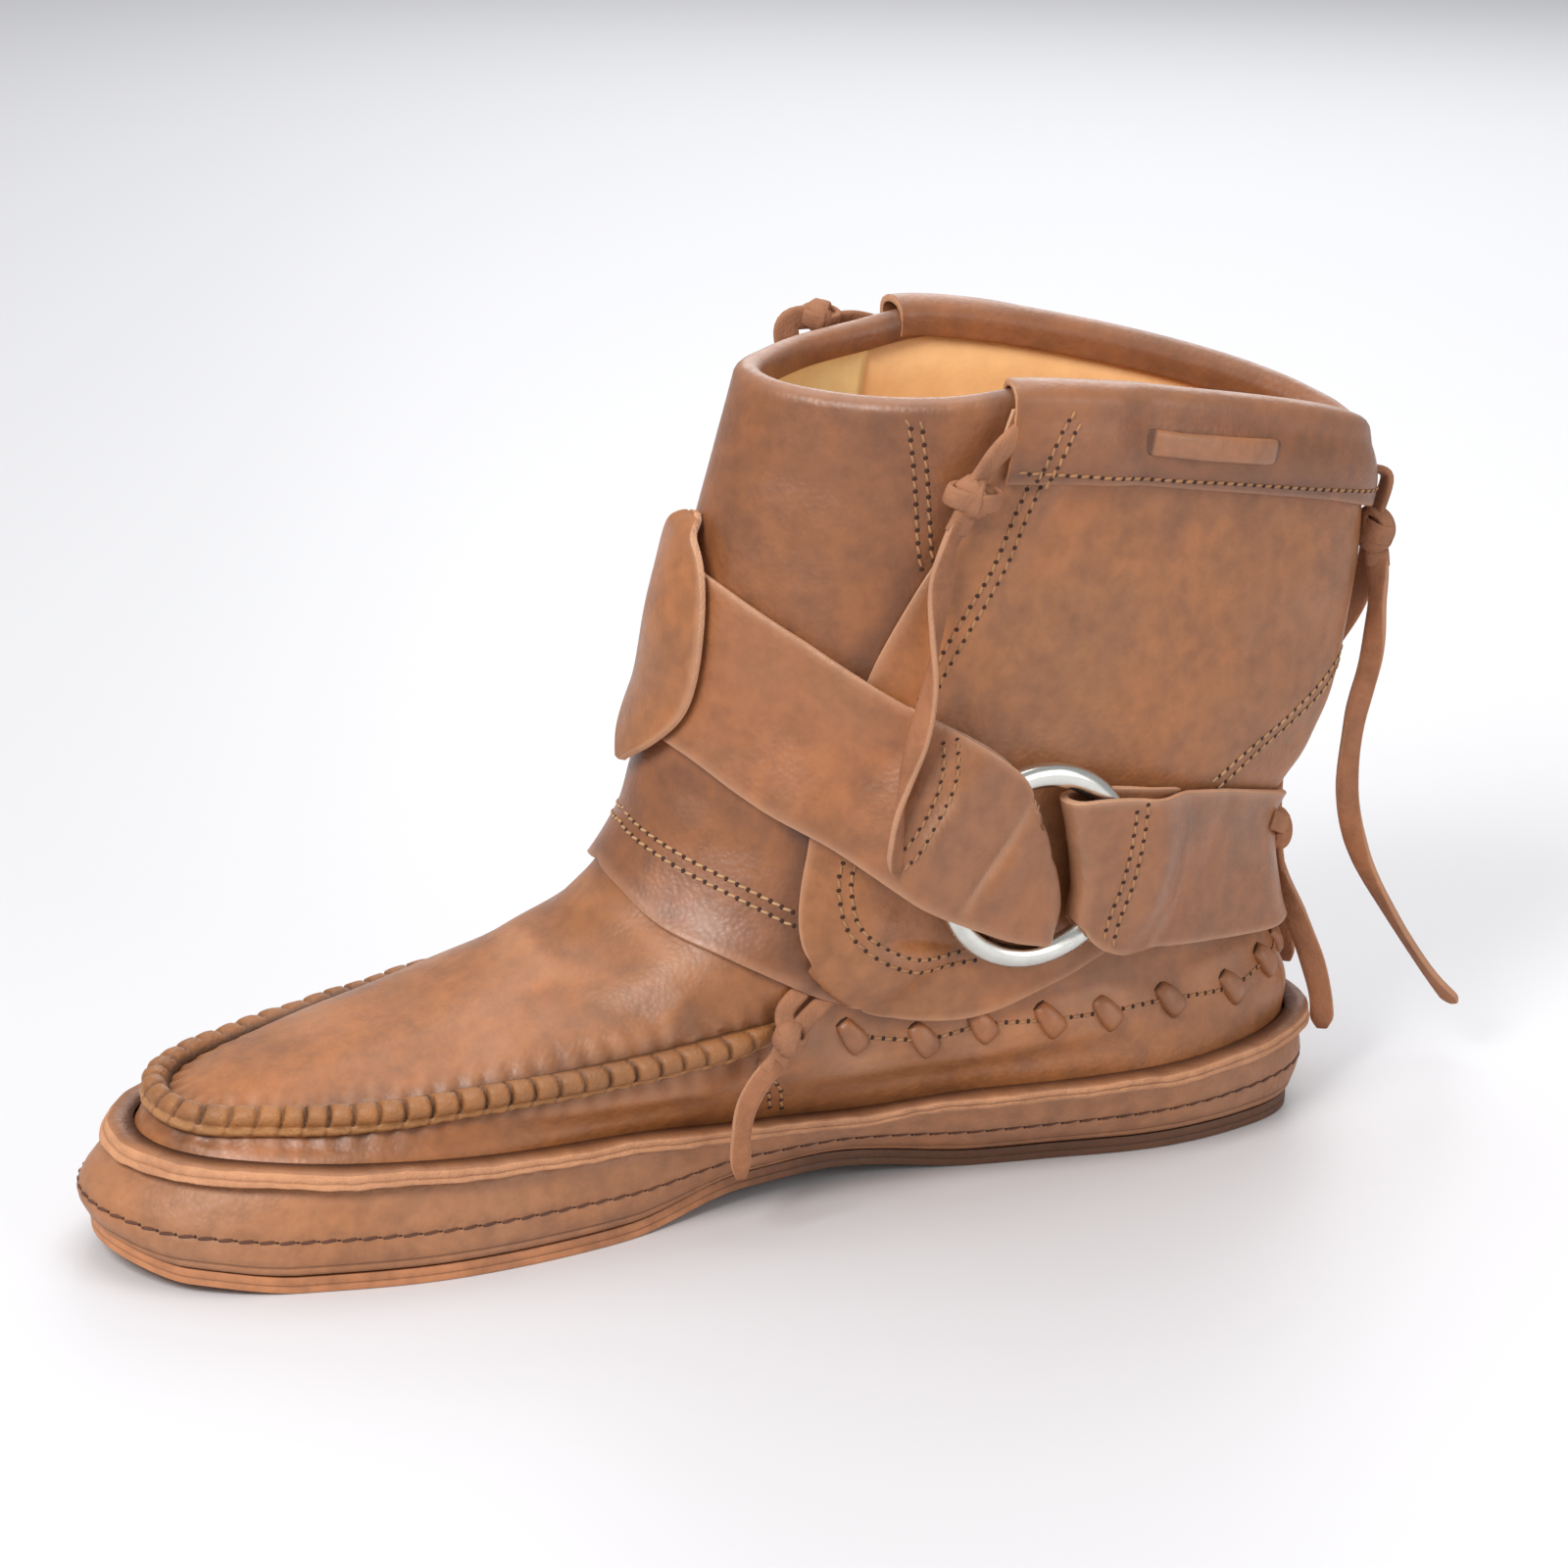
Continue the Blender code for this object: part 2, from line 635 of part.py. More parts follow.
def quarter_place(turn, rise):
    """Place on the quarter: turn from its lateral edge (-1) to its medial one, rise from its foot up."""
    from_edge = 1 - abs(turn)
    place = []
    for index, collar in enumerate((0.0, COLLAR_LEVEL)):
        front = along_rows(QUARTER_FRONT, rise, index)
        back = mix(QUARTER_FOOT[-1][index], collar, rise)
        straight = mix(QUARTER_FOOT[0][index], QUARTER_FOOT[-1][index], from_edge)
        bow = along_rows(QUARTER_FOOT, from_edge, index) - straight
        place.append(mix(front, back, from_edge) + (1 - rise) * bow)
    around, level = place
    return around if turn > 0 else -around, min(level, COLLAR_LEVEL)


def make_quarter():
    """Rear of the boot, wrapped round the heel, with an ear on each side."""
    rows = []
    for rise in shares(10):
        row = []
        for turn in both_ways(35):
            around, level = quarter_place(turn, rise)
            row.append(last_point(around % 1.0, level, quarter_out(around % 1.0, level)))
        rows.append(row)
    sheet("quarter", rows, LEATHER, tan_leather())


def cuff_top(around):
    """Height of the cuff's folded top edge."""
    from_back = min(around, 1 - around) / QUARTER_FRONT[-1][0]
    return last_place(around, COLLAR_LEVEL)[2] + CUFF_FOLD + CUFF_FLARE * max(from_back, 0.0) ** 4


def cuff_out(around):
    """Offset of the cuff, which rises a little before the quarter under it does."""
    ahead = 0.5 - abs(abs(around - 0.5) - PANEL_RAMP * 0.7)
    return quarter_out(ahead, COLLAR_LEVEL) + LAYER


def make_cuff():
    """Folded channel along the quarter's top, open on its lower sides, round the collar's edge."""
    inside = -UPPER_THICK - SEAT
    sections = []
    for turn in both_ways(29):
        around = (-turn * QUARTER_FRONT[-1][0]) % 1.0
        top = cuff_top(around)
        room = last_place(around, COLLAR_LEVEL)[2] + SEAT
        outside = cuff_out(around)
        profile = (
            (outside + LEATHER, top - CUFF_DEPTH),
            (outside + LEATHER, top - LEATHER),
            (outside, top),
            (inside, top),
            (inside - LEATHER, top - LEATHER),
            (inside - LEATHER, top - CUFF_INSIDE),
            (inside, top - CUFF_INSIDE),
            (inside, room),
            (outside, room),
            (outside, top - CUFF_DEPTH),
        )
        sections.append([collar_point(around, height, out) for out, height in profile])
    sweep("cuff", sections, tan_leather())


def collar_point(around, height, out):
    """Point beside the collar, also above its edge."""
    lower = min(height, last_place(around, COLLAR_LEVEL)[2])
    point = side_point(around, lower, out)
    point.z = height
    return point


def ring_frame(side):
    """Centre, outward direction and forward direction of a harness ring."""
    around, level = place_at(RING_ALONG, height_of(RING_HEIGHT), side)
    normal = last_normal(around, level)
    return last_point(around, level, RING_OUT), normal


def make_ring(side, name):
    centre, normal = ring_frame(side)
    bpy.ops.mesh.primitive_torus_add(
        major_radius=(RING_OUTER - RING_WIRE) / 2, minor_radius=RING_WIRE / 2,
        major_segments=24, minor_segments=8, location=centre,
        rotation=normal.to_track_quat("Z", "Y").to_euler())
    made = bpy.context.object
    made.name = name
    made.data.name = name
    made.data.materials.append(nickel())
    made.data.shade_smooth()
    for holder in made.users_collection:
        holder.objects.unlink(made)
    bpy.data.collections["leather_boot"].objects.link(made)


def strap_layer(rows, share, across, side, height, rise):
    """Point of a strap layer: level with the ring's plane near it, and rise above the boot elsewhere."""
    top = (along_rows(rows, share, 0), along_rows(rows, share, 1))
    bottom = (along_rows(rows, share, 2), along_rows(rows, share, 3))
    around = mirrored(mix(bottom[0], top[0], across) % 1.0, side)
    level = height_level(around, mix(bottom[1], top[1], across))
    centre, normal = ring_frame(side)
    seated = last_point(around, level, strap_out(around, level) + rise)
    surface = last_point(around, level)
    distance = (surface - centre) - normal * (surface - centre).dot(normal)
    level_with_ring = surface + normal * (height - (surface - centre).dot(normal))
    free = (distance.length - RING_OUTER / 2 - LOOP_SEATED) / LOOP_FREED
    free = min(max(free, 0.0), 1.0)
    free = free * free * (3 - 2 * free)
    return level_with_ring.lerp(seated, free)


def fold_rows(rows, side, toward):
    """The half turn of a strap through the ring, from its inner to its outer layer."""
    normal = ring_frame(side)[1]
    made = []
    for angle in (-60, -20, 20, 60):
        bend = math.radians(angle)
        row = []
        for across in shares(5):
            point = strap_layer(rows, 0.0, across, side, 0.0, 0.0)
            ahead = strap_layer(rows, 0.08, across, side, 0.0, 0.0)
            forward = (ahead - point).normalized() * toward
            around_wire = normal * math.sin(bend) - forward * math.cos(bend)
            row.append(point + LOOP_HEIGHT * around_wire)
        made.append(row)
    return made


def loop_rows(rows, side, inner_end):
    """Rows of a strap from the end of its inner layer, through the ring, to its far end."""
    inner_rise = STRAP_THICK / 2
    outer_rise = inner_rise + STRAP_THICK + SEAT
    made = []
    for share in (inner_end, inner_end * 0.75, inner_end * 0.5, inner_end * 0.25, 0.0):
        layer = [strap_layer(rows, share, across, side, -LOOP_HEIGHT, inner_rise) for across in shares(5)]
        made.append(layer)
    made += fold_rows(rows, side, 1)
    for share in shares(15):
        thin = min(max((share - inner_end) / 0.15, 0.0), 1.0)
        rise = mix(outer_rise, inner_rise, thin)
        made.append([strap_layer(rows, share, across, side, LOOP_HEIGHT, rise) for across in shares(5)])
    return made


def make_front_strap():
    """Strap from one ring to the other, under the keeper on the front."""
    medial = loop_rows(FRONT_STRAP_ROWS, 1, 0.46)
    lateral = loop_rows(FRONT_STRAP_ROWS, -1, 0.46)
    rows = medial + lateral[-2::-1]
    sheet("front_strap", rows, STRAP_THICK, tan_leather(), offset=0.0)


def make_heel_strap(side, name):
    rows = loop_rows(HEEL_STRAP_ROWS, side, 0.42)
    sheet(name, rows, STRAP_THICK, tan_leather(), offset=0.0)


def make_keeper():
    """Strip on the front that holds the strap down, with free pointed ends."""
    rows = []
    for share in shares(11):
        spread = along_rows(KEEPER_ROWS, share, 0)
        height = along_rows(KEEPER_ROWS, share, 1)
        row = []
        for turn in both_ways(5):
            around = 0.5 + spread * turn
            level = height_level(around, height)
            row.append(last_point(around, level, strap_out(around, level) + STRAP_THICK + SEAT))
        rows.append(row)
    rows.reverse()
    sheet("keeper", rows, LEATHER, tan_leather())


def make_lace_bar(name, side):
    """Flat lace where it shows on the outside of the cuff, between two holes."""
    sections = []
    for share in shares(9):
        around = mirrored(mix(*LACE_BAR, share), side)
        out = cuff_out(around) + LAYER
        middle = cuff_top(around) - 0.55 * CUFF_DEPTH
        corners = ((out, -0.5), (out + LACE_THICK, -0.5), (out + LACE_THICK, 0.5), (out, 0.5))
        sections.append([side_point(around, middle + LACE_WIDTH * rise, reach) for reach, rise in corners])
    sweep(name, sections, raw_leather())


def from_heel(along, breadth, height):
    """World point for a place given in millimetres from the heel."""
    return to_world(along * MM, breadth * MM, height * MM)


def make_lace(name, route):
    """Round tube of a hanging lace, along the smooth curve through its route."""
    points = [from_heel(*row) for row in route]
    length = sum((end - start).length for start, end in zip(points, points[1:]))
    count = max(4, round(length / LACE_STEP))
    curve = bpy.data.curves.new(name, "CURVE")
    curve.dimensions = "3D"
    curve.bevel_depth = LACE_TUBE
    curve.bevel_resolution = 2
    curve.use_fill_caps = True
    curve.materials.append(raw_leather())
    spline = curve.splines.new("POLY")
    spline.points.add(count - 1)
    for index, share in enumerate(shares(count)):
        spline.points[index].co = (*[along_rows(points, share, axis) for axis in range(3)], 1.0)
    bpy.data.collections["leather_boot"].objects.link(bpy.data.objects.new(name, curve))


def make_knot(name, centre, halves):
    """A knot's outer form: a barrel, flat above and below where laces leave it."""
    along, breadth, height = halves
    sections = []
    for level, width in KNOT_PROFILE:
        section = []
        for share in all_around(KNOT_SIDES):
            turn = 2 * math.pi * share
            step = (along * width * math.cos(turn), breadth * width * math.sin(turn), height * level)
            section.append(from_heel(*[middle + move for middle, move in zip(centre, step)]))
        sections.append(section)
    sweep(name, sections, raw_leather())


def main():
    for old in list(bpy.data.objects):
        bpy.data.objects.remove(old, do_unlink=True)
    boot = bpy.data.collections.new("leather_boot")
    bpy.context.scene.collection.children.link(boot)
    make_outsole()
    make_insole()
    make_upper()
    make_rand()
    make_rim()
    make_toe_seam()
    make_front_panel()
    make_quarter()
    make_cuff()
    for side, name in ((1, "medial"), (-1, "lateral")):
        make_ring(side, "ring_" + name)
        make_heel_strap(side, "heel_strap_" + name)
        make_lace_bar("collar_lace_" + name, side)
    make_front_strap()
    make_keeper()
    for name, route in LACE_ROUTES.items():
        make_lace(name, route)
    for name, (centre, halves) in KNOTS.items():
        make_knot(name, centre, halves)


if __name__ == "__main__":
    main()
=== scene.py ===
# %% [markdown]
# # A harness ankle boot in tan leather
#
# This lesson dresses the plain solids of one boot: a soft moccasin foot, a short shaft, straps that
# meet in a ring on each side, and thong laces. Every piece lies on one shared form, the last, so the
# last comes before the leather.

import math

import bmesh
import bpy
import numpy as np
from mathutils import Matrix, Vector
from mathutils.bvhtree import BVHTree


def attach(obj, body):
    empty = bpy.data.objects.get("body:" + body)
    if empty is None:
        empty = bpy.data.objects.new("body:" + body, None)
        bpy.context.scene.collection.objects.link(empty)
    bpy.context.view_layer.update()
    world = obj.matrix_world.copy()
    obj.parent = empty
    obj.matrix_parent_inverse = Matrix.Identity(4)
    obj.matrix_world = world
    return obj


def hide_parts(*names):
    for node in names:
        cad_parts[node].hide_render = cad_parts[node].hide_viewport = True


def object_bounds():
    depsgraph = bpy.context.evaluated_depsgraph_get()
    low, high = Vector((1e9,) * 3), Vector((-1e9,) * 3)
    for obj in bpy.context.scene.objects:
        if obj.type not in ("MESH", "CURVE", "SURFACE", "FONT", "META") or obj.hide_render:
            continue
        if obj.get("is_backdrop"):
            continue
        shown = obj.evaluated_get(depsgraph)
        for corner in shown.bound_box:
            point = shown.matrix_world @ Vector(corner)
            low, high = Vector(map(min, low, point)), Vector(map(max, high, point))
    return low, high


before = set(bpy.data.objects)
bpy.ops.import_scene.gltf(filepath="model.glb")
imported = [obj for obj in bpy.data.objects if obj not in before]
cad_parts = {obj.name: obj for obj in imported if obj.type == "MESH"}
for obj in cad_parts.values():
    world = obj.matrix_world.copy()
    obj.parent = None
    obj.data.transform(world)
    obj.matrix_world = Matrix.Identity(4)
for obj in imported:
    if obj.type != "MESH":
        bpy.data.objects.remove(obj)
cad_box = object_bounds()
print("solids:", len(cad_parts))

# %% [markdown]
# ## Camera, light and floor
#
# A long lens from a little above the collar sees the boot's inner side, as a product photograph does.
# The camera stands where the photograph was taken and turns towards the middle of the one boot.

# %% Camera
CAMERA_AT = Vector((0.969, -0.324, 0.463))
CAMERA_AIM = Vector((0.0, 0.0105, 0.0840))
LENS_MM = 118.0
SENSOR_MM = 36.0

camera_data = bpy.data.cameras.new("camera")
camera_data.lens = LENS_MM
camera_data.sensor_width = SENSOR_MM
camera = bpy.data.objects.new("camera", camera_data)
camera.location = CAMERA_AT
camera.rotation_mode = "QUATERNION"
camera.rotation_quaternion = (CAMERA_AIM - CAMERA_AT).to_track_quat("-Z", "Y")
bpy.context.scene.collection.objects.link(camera)
bpy.context.scene.camera = camera
print("camera lens:", LENS_MM, "mm")

# %% Light and floor
def soft_light(name, at, aim, size, watts, colour):
    """A square area light that looks at a point."""
    data = bpy.data.lights.new(name, "AREA")
    data.size = size
    data.energy = watts
    data.color = colour
    lamp = bpy.data.objects.new(name, data)
    lamp.location = at
    lamp.rotation_mode = "QUATERNION"
    lamp.rotation_quaternion = (Vector(aim) - Vector(at)).to_track_quat("-Z", "Y")
    bpy.context.scene.collection.objects.link(lamp)


BOOT_MIDDLE = (0.0, 0.0, 0.08)
soft_light("key", (0.55, -0.75, 0.95), BOOT_MIDDLE, 0.5, 11.4, (1.0, 0.98, 0.96))
soft_light("fill", (0.95, 0.75, 0.45), BOOT_MIDDLE, 0.8, 3.4, (1.0, 0.98, 0.97))
soft_light("top", (-0.25, 0.05, 1.15), BOOT_MIDDLE, 0.9, 4.8, (0.98, 0.99, 1.0))
soft_light("back", (-0.9, 0.5, 0.6), BOOT_MIDDLE, 0.8, 4.0, (1.0, 1.0, 1.0))

world = bpy.data.worlds.new("studio")
world.use_nodes = True
world.node_tree.nodes["Background"].inputs["Color"].default_value = (0.93, 0.94, 0.96, 1.0)
world.node_tree.nodes["Background"].inputs["Strength"].default_value = 0.45
bpy.context.scene.world = world
bpy.context.scene.view_settings.view_transform = "Standard"

FLOOR_HALF = 12.0
floor_mesh = bpy.data.meshes.new("floor")
corners = [(-FLOOR_HALF, -FLOOR_HALF, 0), (FLOOR_HALF, -FLOOR_HALF, 0)]
corners += [(FLOOR_HALF, FLOOR_HALF, 0), (-FLOOR_HALF, FLOOR_HALF, 0)]
floor_mesh.from_pydata(corners, [], [(0, 1, 2, 3)])
floor = bpy.data.objects.new("floor", floor_mesh)
bpy.context.scene.collection.objects.link(floor)
floor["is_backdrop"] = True
print("lights:", len(bpy.data.lights), "floor side:", 2 * FLOOR_HALF, "m")

# %% [markdown]
# ## The last
#
# A shoemaker pulls the leather over a last. Here the last is a function of two numbers: how far round
# the foot a point lies (0 at the middle of the heel, 0.25 on the inner side, 0.5 at the toe) and its
# level, from the feather edge up to the collar. Short tables hold the shape as shares of a few sizes,
# and NumPy works out thousands of points at once.

# %% Driving sizes
MM = 0.001
SOLE_LENGTH = 0.270
BALL_BREADTH = 0.080
ANKLE_BREADTH = 0.072
INSTEP_HEIGHT = 0.076
SHAFT_RISE = 0.095
COLLAR_CROWN = 0.010
ARCH_RISE = 0.004
TOE_SPRING = 0.005
CLEARANCE = 0.0003
UPPER_THICK = 0.0020
OUTSOLE_THICK = 0.0036
RAND_THICK = 0.0022
RIM_STAND = 0.0030
RIM_THICK = 0.0034
SOLE_INSET = 0.0008
LEATHER = 0.0016
STRAP_THICK = 0.0018
SEAT = 0.0007
LAYER = LEATHER + SEAT
SEAM_WIDTH = 0.0055
SEAM_HEIGHT = 0.0044
CUFF_DEPTH = 0.0205
CUFF_INSIDE = 0.0080
CUFF_FOLD = 0.0018
CUFF_FLARE = 0.0040
RING_OUTER = 0.0450
RING_WIRE = 0.0045
ORIGIN_FROM_HEEL = 0.4756 * SOLE_LENGTH
PANEL_UNDER = 0.022
PANEL_RAMP = 0.030
RING_LIFT = 0.0012
RING_ALONG = 0.289 * SOLE_LENGTH
RING_HEIGHT = 0.950
RING_OUT = SEAT + LAYER + STRAP_THICK + RING_LIFT + RING_WIRE / 2
LOOP_HEIGHT = RING_WIRE / 2 + CLEARANCE + STRAP_THICK / 2
LOOP_SEATED = 0.0045
LOOP_FREED = 0.0130
FEATHER_HEIGHT = OUTSOLE_THICK + CLEARANCE
print("sole:", SOLE_LENGTH, "m long,", BALL_BREADTH, "m broad")

# %% Tables of the last
PLAN_COLUMNS = (
    "sole_medial", "sole_lateral", "rim_medial", "rim_lateral", "seam_medial", "seam_lateral", "shaft",
    "crown")
PLAN_ROWS = (
    (0.000, 0.000, 0.000, 0.000, 0.000, 0.000, 0.00, 0.00),
    (0.188, 0.181, 0.150, 0.150, 0.163, 0.163, 0.20, 0.20),
    (0.281, 0.275, 0.288, 0.281, 0.269, 0.269, 0.37, 0.45),
    (0.325, 0.325, 0.396, 0.388, 0.369, 0.369, 0.55, 0.68),
    (0.288, 0.331, 0.421, 0.406, 0.425, 0.425, 0.72, 0.86),
    (0.250, 0.344, 0.394, 0.412, 0.450, 0.450, 0.86, 0.97),
    (0.300, 0.388, 0.379, 0.425, 0.462, 0.450, 0.95, 1.00),
    (0.438, 0.456, 0.432, 0.450, 0.460, 0.431, 1.00, 0.85),
    (0.491, 0.450, 0.466, 0.438, 0.441, 0.388, 0.93, 0.45),
    (0.456, 0.375, 0.425, 0.369, 0.375, 0.319, 0.76, 0.20),
    (0.388, 0.262, 0.331, 0.256, 0.269, 0.225, 0.50, 0.05),
    (0.244, 0.119, 0.200, 0.125, 0.181, 0.125, 0.26, 0.00),
    (0.062, -0.062, 0.038, -0.038, 0.025, -0.025, 0.00, 0.00),
)
RING_COLUMNS = ("back", "back_height", "front", "front_height", "plan", "wide", "arch", "spring", "crown")
RING_ROWS = (
    (0.0130, 0.000, 0.998, 0.000, 0.00, 1.000, 1.0, 1.0, 0.0),
    (0.0030, 0.096, 1.002, 0.107, 0.50, 1.010, 0.5, 0.6, 0.0),
    (0.0065, 0.205, 0.969, 0.280, 1.00, 1.000, -0.5, 0.0, 0.0),
    (0.0050, 0.317, 0.960, 0.325, 1.60, 1.000, 0.0, 0.0, 0.0),
    (0.0165, 0.422, 0.944, 0.363, 2.00, 1.000, 0.0, 0.0, 0.0),
    (0.0280, 0.538, 0.889, 0.436, 2.15, 1.000, 0.0, 0.0, 0.0),
    (0.0335, 0.643, 0.804, 0.512, 2.30, 1.000, 0.0, 0.0, 0.0),
    (0.0370, 0.738, 0.726, 0.587, 2.45, 1.000, 0.0, 0.0, 0.0),
    (0.0370, 0.817, 0.659, 0.688, 2.60, 1.000, 0.0, 0.0, 0.0),
    (0.0315, 0.883, 0.604, 0.804, 2.75, 1.000, 0.0, 0.0, 0.0),
    (0.0150, 0.959, 0.566, 0.988, 2.90, 1.000, 0.0, 0.0, 0.0),
    (-0.0055, 1.048, 0.550, 1.127, 3.00, 1.000, 0.0, 0.0, 0.0),
    (-0.0205, 1.148, 0.531, 1.285, 3.00, 0.990, 0.0, 0.0, 0.0),
    (-0.0315, 1.296, 0.519, 1.464, 3.00, 0.970, 0.0, 0.0, 0.1),
    (-0.0405, 1.464, 0.500, 1.643, 3.00, 0.950, 0.0, 0.0, 0.4),
    (-0.0415, 1.622, 0.482, 1.812, 3.00, 0.940, 0.0, 0.0, 0.7),
    (-0.0360, 1.759, 0.466, 1.980, 3.00, 0.945, 0.0, 0.0, 1.0),
)
RIM_LEVEL = 2
COLLAR_LEVEL = len(RING_ROWS) - 1
LIFT_COLUMNS = ("along", "arch", "spring")
LIFT_ROWS = (
    (0.00, 0.0, 0.0),
    (0.30, 0.0, 0.0),
    (0.44, 1.0, 0.0),
    (0.50, 0.9, 0.0),
    (0.61, 0.0, 0.0),
    (0.87, 0.0, 0.0),
    (0.95, 0.0, 0.4),
    (1.01, 0.0, 1.0),
)
print("rows that shape the last:", len(PLAN_ROWS), "round,", len(RING_ROWS), "up")

# %% Smooth curves through table rows
def column(rows, columns, name):
    return np.array([row[columns.index(name)] for row in rows])


def catmull(near, share):
    """Smooth curve through the two middle values of four."""
    before, start, end, after = near
    bend = 2 * before - 5 * start + 4 * end - after
    twist = 3 * start - before - 3 * end + after
    return 0.5 * (2 * start + (end - before) * share + bend * share**2 + twist * share**3)


def smooth(values, place):
    """Value at places, counted in rows, of the smooth curve through equally spaced values."""
    values = np.asarray(values, float)
    ends = np.concatenate([[2 * values[0] - values[1]], values, [2 * values[-1] - values[-2]]])
    place = np.clip(place, 0.0, len(values) - 1)
    index = np.minimum(np.floor(place).astype(int), len(values) - 2)
    return catmull([ends[index + step] for step in range(4)], place - index)


def smooth_loop(values, place):
    values = np.asarray(values, float)
    index = np.floor(place).astype(int)
    return catmull([values[(index + step) % len(values)] for step in (-1, 0, 1, 2)], place - index)


def soft(share):
    """A share from 0 to 1 with a soft start and end."""
    return share * share * (3 - 2 * share)


def ramp(value, start, width):
    """0 up to a start, then straight up to 1 over a width."""
    return np.clip((value - start) / width, 0.0, 1.0)


def hump(value, middle, width):
    """1 at a middle value, falling softly to almost 0 at twice the width from it."""
    return np.exp(-(((value - middle) / width) ** 2))


def eased(values, keys, at):
    """Value between table rows, with a soft start and end in each step."""
    place = np.interp(at, keys, np.arange(len(keys)))
    index = np.minimum(np.floor(place).astype(int), len(keys) - 2)
    return values[index] + soft(place - index) * (values[index + 1] - values[index])


def mix(start, end, share):
    return start + (end - start) * share


def steps(low, high, count):
    return np.linspace(low, high, count)


def walk_of(line):
    """Distance walked along a line from its first point to each of its points."""
    return np.concatenate([[0.0], np.cumsum(np.linalg.norm(np.diff(line, axis=0), axis=1))])


def on_side(around, side):
    """A place round the boot on the medial side (1) or, mirrored, on the lateral side (-1)."""
    return around if side > 0 else 1 - around


def table_line(rows, share, index):
    """One value of a short table of rows, at a share of the way through it."""
    return smooth([row[index] for row in rows], np.asarray(share) * (len(rows) - 1))


# %% Surface of the last
PLAN = {name: column(PLAN_ROWS, PLAN_COLUMNS, name) for name in PLAN_COLUMNS}
RINGS = {name: column(RING_ROWS, RING_COLUMNS, name) for name in RING_COLUMNS}
LIFTS = {name: column(LIFT_ROWS, LIFT_COLUMNS, name) for name in LIFT_COLUMNS}


def signed_plan(medial, lateral):
    return np.concatenate([PLAN[medial], -PLAN[lateral][-2:0:-1]])


PLAN_LOOPS = np.array([
    BALL_BREADTH * signed_plan("sole_medial", "sole_lateral"),
    BALL_BREADTH * signed_plan("rim_medial", "rim_lateral"),
    BALL_BREADTH * signed_plan("seam_medial", "seam_lateral"),
    ANKLE_BREADTH / 2 * signed_plan("shaft", "shaft"),
])
CROWN_LOOP = np.concatenate([PLAN["crown"], PLAN["crown"][-2:0:-1]])


def height_of(share):
    return FEATHER_HEIGHT + np.minimum(share, 1.0) * INSTEP_HEIGHT + np.maximum(share - 1.0, 0.0) * SHAFT_RISE


def sole_lift(along, arch=1.0, spring=1.0):
    share = along / SOLE_LENGTH
    rise = arch * ARCH_RISE * eased(LIFTS["arch"], LIFTS["along"], share)
    return rise + spring * TOE_SPRING * eased(LIFTS["spring"], LIFTS["along"], share)


def last(around, level):
    """World points of the last for arrays of around and level."""
    around, level = np.broadcast_arrays(np.asarray(around, float), np.asarray(level, float))
    forward = (1 - np.cos(2 * np.pi * around)) / 2
    along = SOLE_LENGTH * mix(smooth(RINGS["back"], level), smooth(RINGS["front"], level), forward)
    plan = np.clip(smooth(RINGS["plan"], level), 0.0, len(PLAN_LOOPS) - 1)
    lower = np.minimum(np.floor(plan).astype(int), len(PLAN_LOOPS) - 2)
    loops = np.stack([smooth_loop(loop, around * len(loop)) for loop in PLAN_LOOPS])
    below = np.take_along_axis(loops, lower[None], 0)[0]
    above = np.take_along_axis(loops, lower[None] + 1, 0)[0]
    breadth = mix(below, above, plan - lower) * smooth(RINGS["wide"], level)
    back_height = height_of(smooth(RINGS["back_height"], level))
    height = mix(back_height, height_of(smooth(RINGS["front_height"], level)), forward)
    height = height + sole_lift(along, smooth(RINGS["arch"], level), smooth(RINGS["spring"], level))
    crown = smooth(RINGS["crown"], level) * smooth_loop(CROWN_LOOP, around * len(CROWN_LOOP))
    height = height + COLLAR_CROWN * crown
    return np.stack([breadth, ORIGIN_FROM_HEEL - along, height], -1)


def unit(vectors):
    return vectors / np.maximum(np.linalg.norm(vectors, axis=-1, keepdims=True), 1e-12)


def flattened(vectors, normals):
    """Directions turned to lie square to the normals."""
    return unit(vectors - (vectors * normals).sum(-1, keepdims=True) * normals)


AROUND_STEP, LEVEL_STEP = 0.004, 0.04


def last_normal(around, level):
    """Direction out of the last, from two short steps along its surface."""
    around, level = np.asarray(around), np.asarray(level, float)
    low, high = np.maximum(level - LEVEL_STEP, 0.0), np.minimum(level + LEVEL_STEP, COLLAR_LEVEL)
    rise = last(around, high) - last(around, low)
    run = last(around + AROUND_STEP, level) - last(around - AROUND_STEP, level)
    return unit(np.cross(rise, run))


def surface(around, level, out=0.0):
    """Points moved out from the last along its normal."""
    return last(around, level) + np.asarray(out)[..., None] * last_normal(around, level)


HALVINGS = 24


def level_at(around, height):
    """Level of the last at a height, by halving the interval."""
    around, height = np.broadcast_arrays(np.asarray(around, float), np.asarray(height, float))
    low, high = np.zeros_like(height), np.full_like(height, COLLAR_LEVEL)
    for _ in range(HALVINGS):
        middle = (low + high) / 2
        below = last(around, middle)[..., 2] < height
        low, high = np.where(below, middle, low), np.where(below, high, middle)
    return (low + high) / 2


def side_point(around, height, out):
    """Points beside the last at a height, moved out level with the floor."""
    level = level_at(around, height)
    flat = last_normal(around, level) * (1.0, 1.0, 0.0)
    points = last(around, level) + np.asarray(out)[..., None] * unit(flat)
    points[..., 2] = height
    return points


def from_heel(along, breadth, height):
    """World point for a place given in millimetres from the heel."""
    return np.array([breadth, ORIGIN_FROM_HEEL / MM - along, height]) * MM


FINE_TURNS = 721


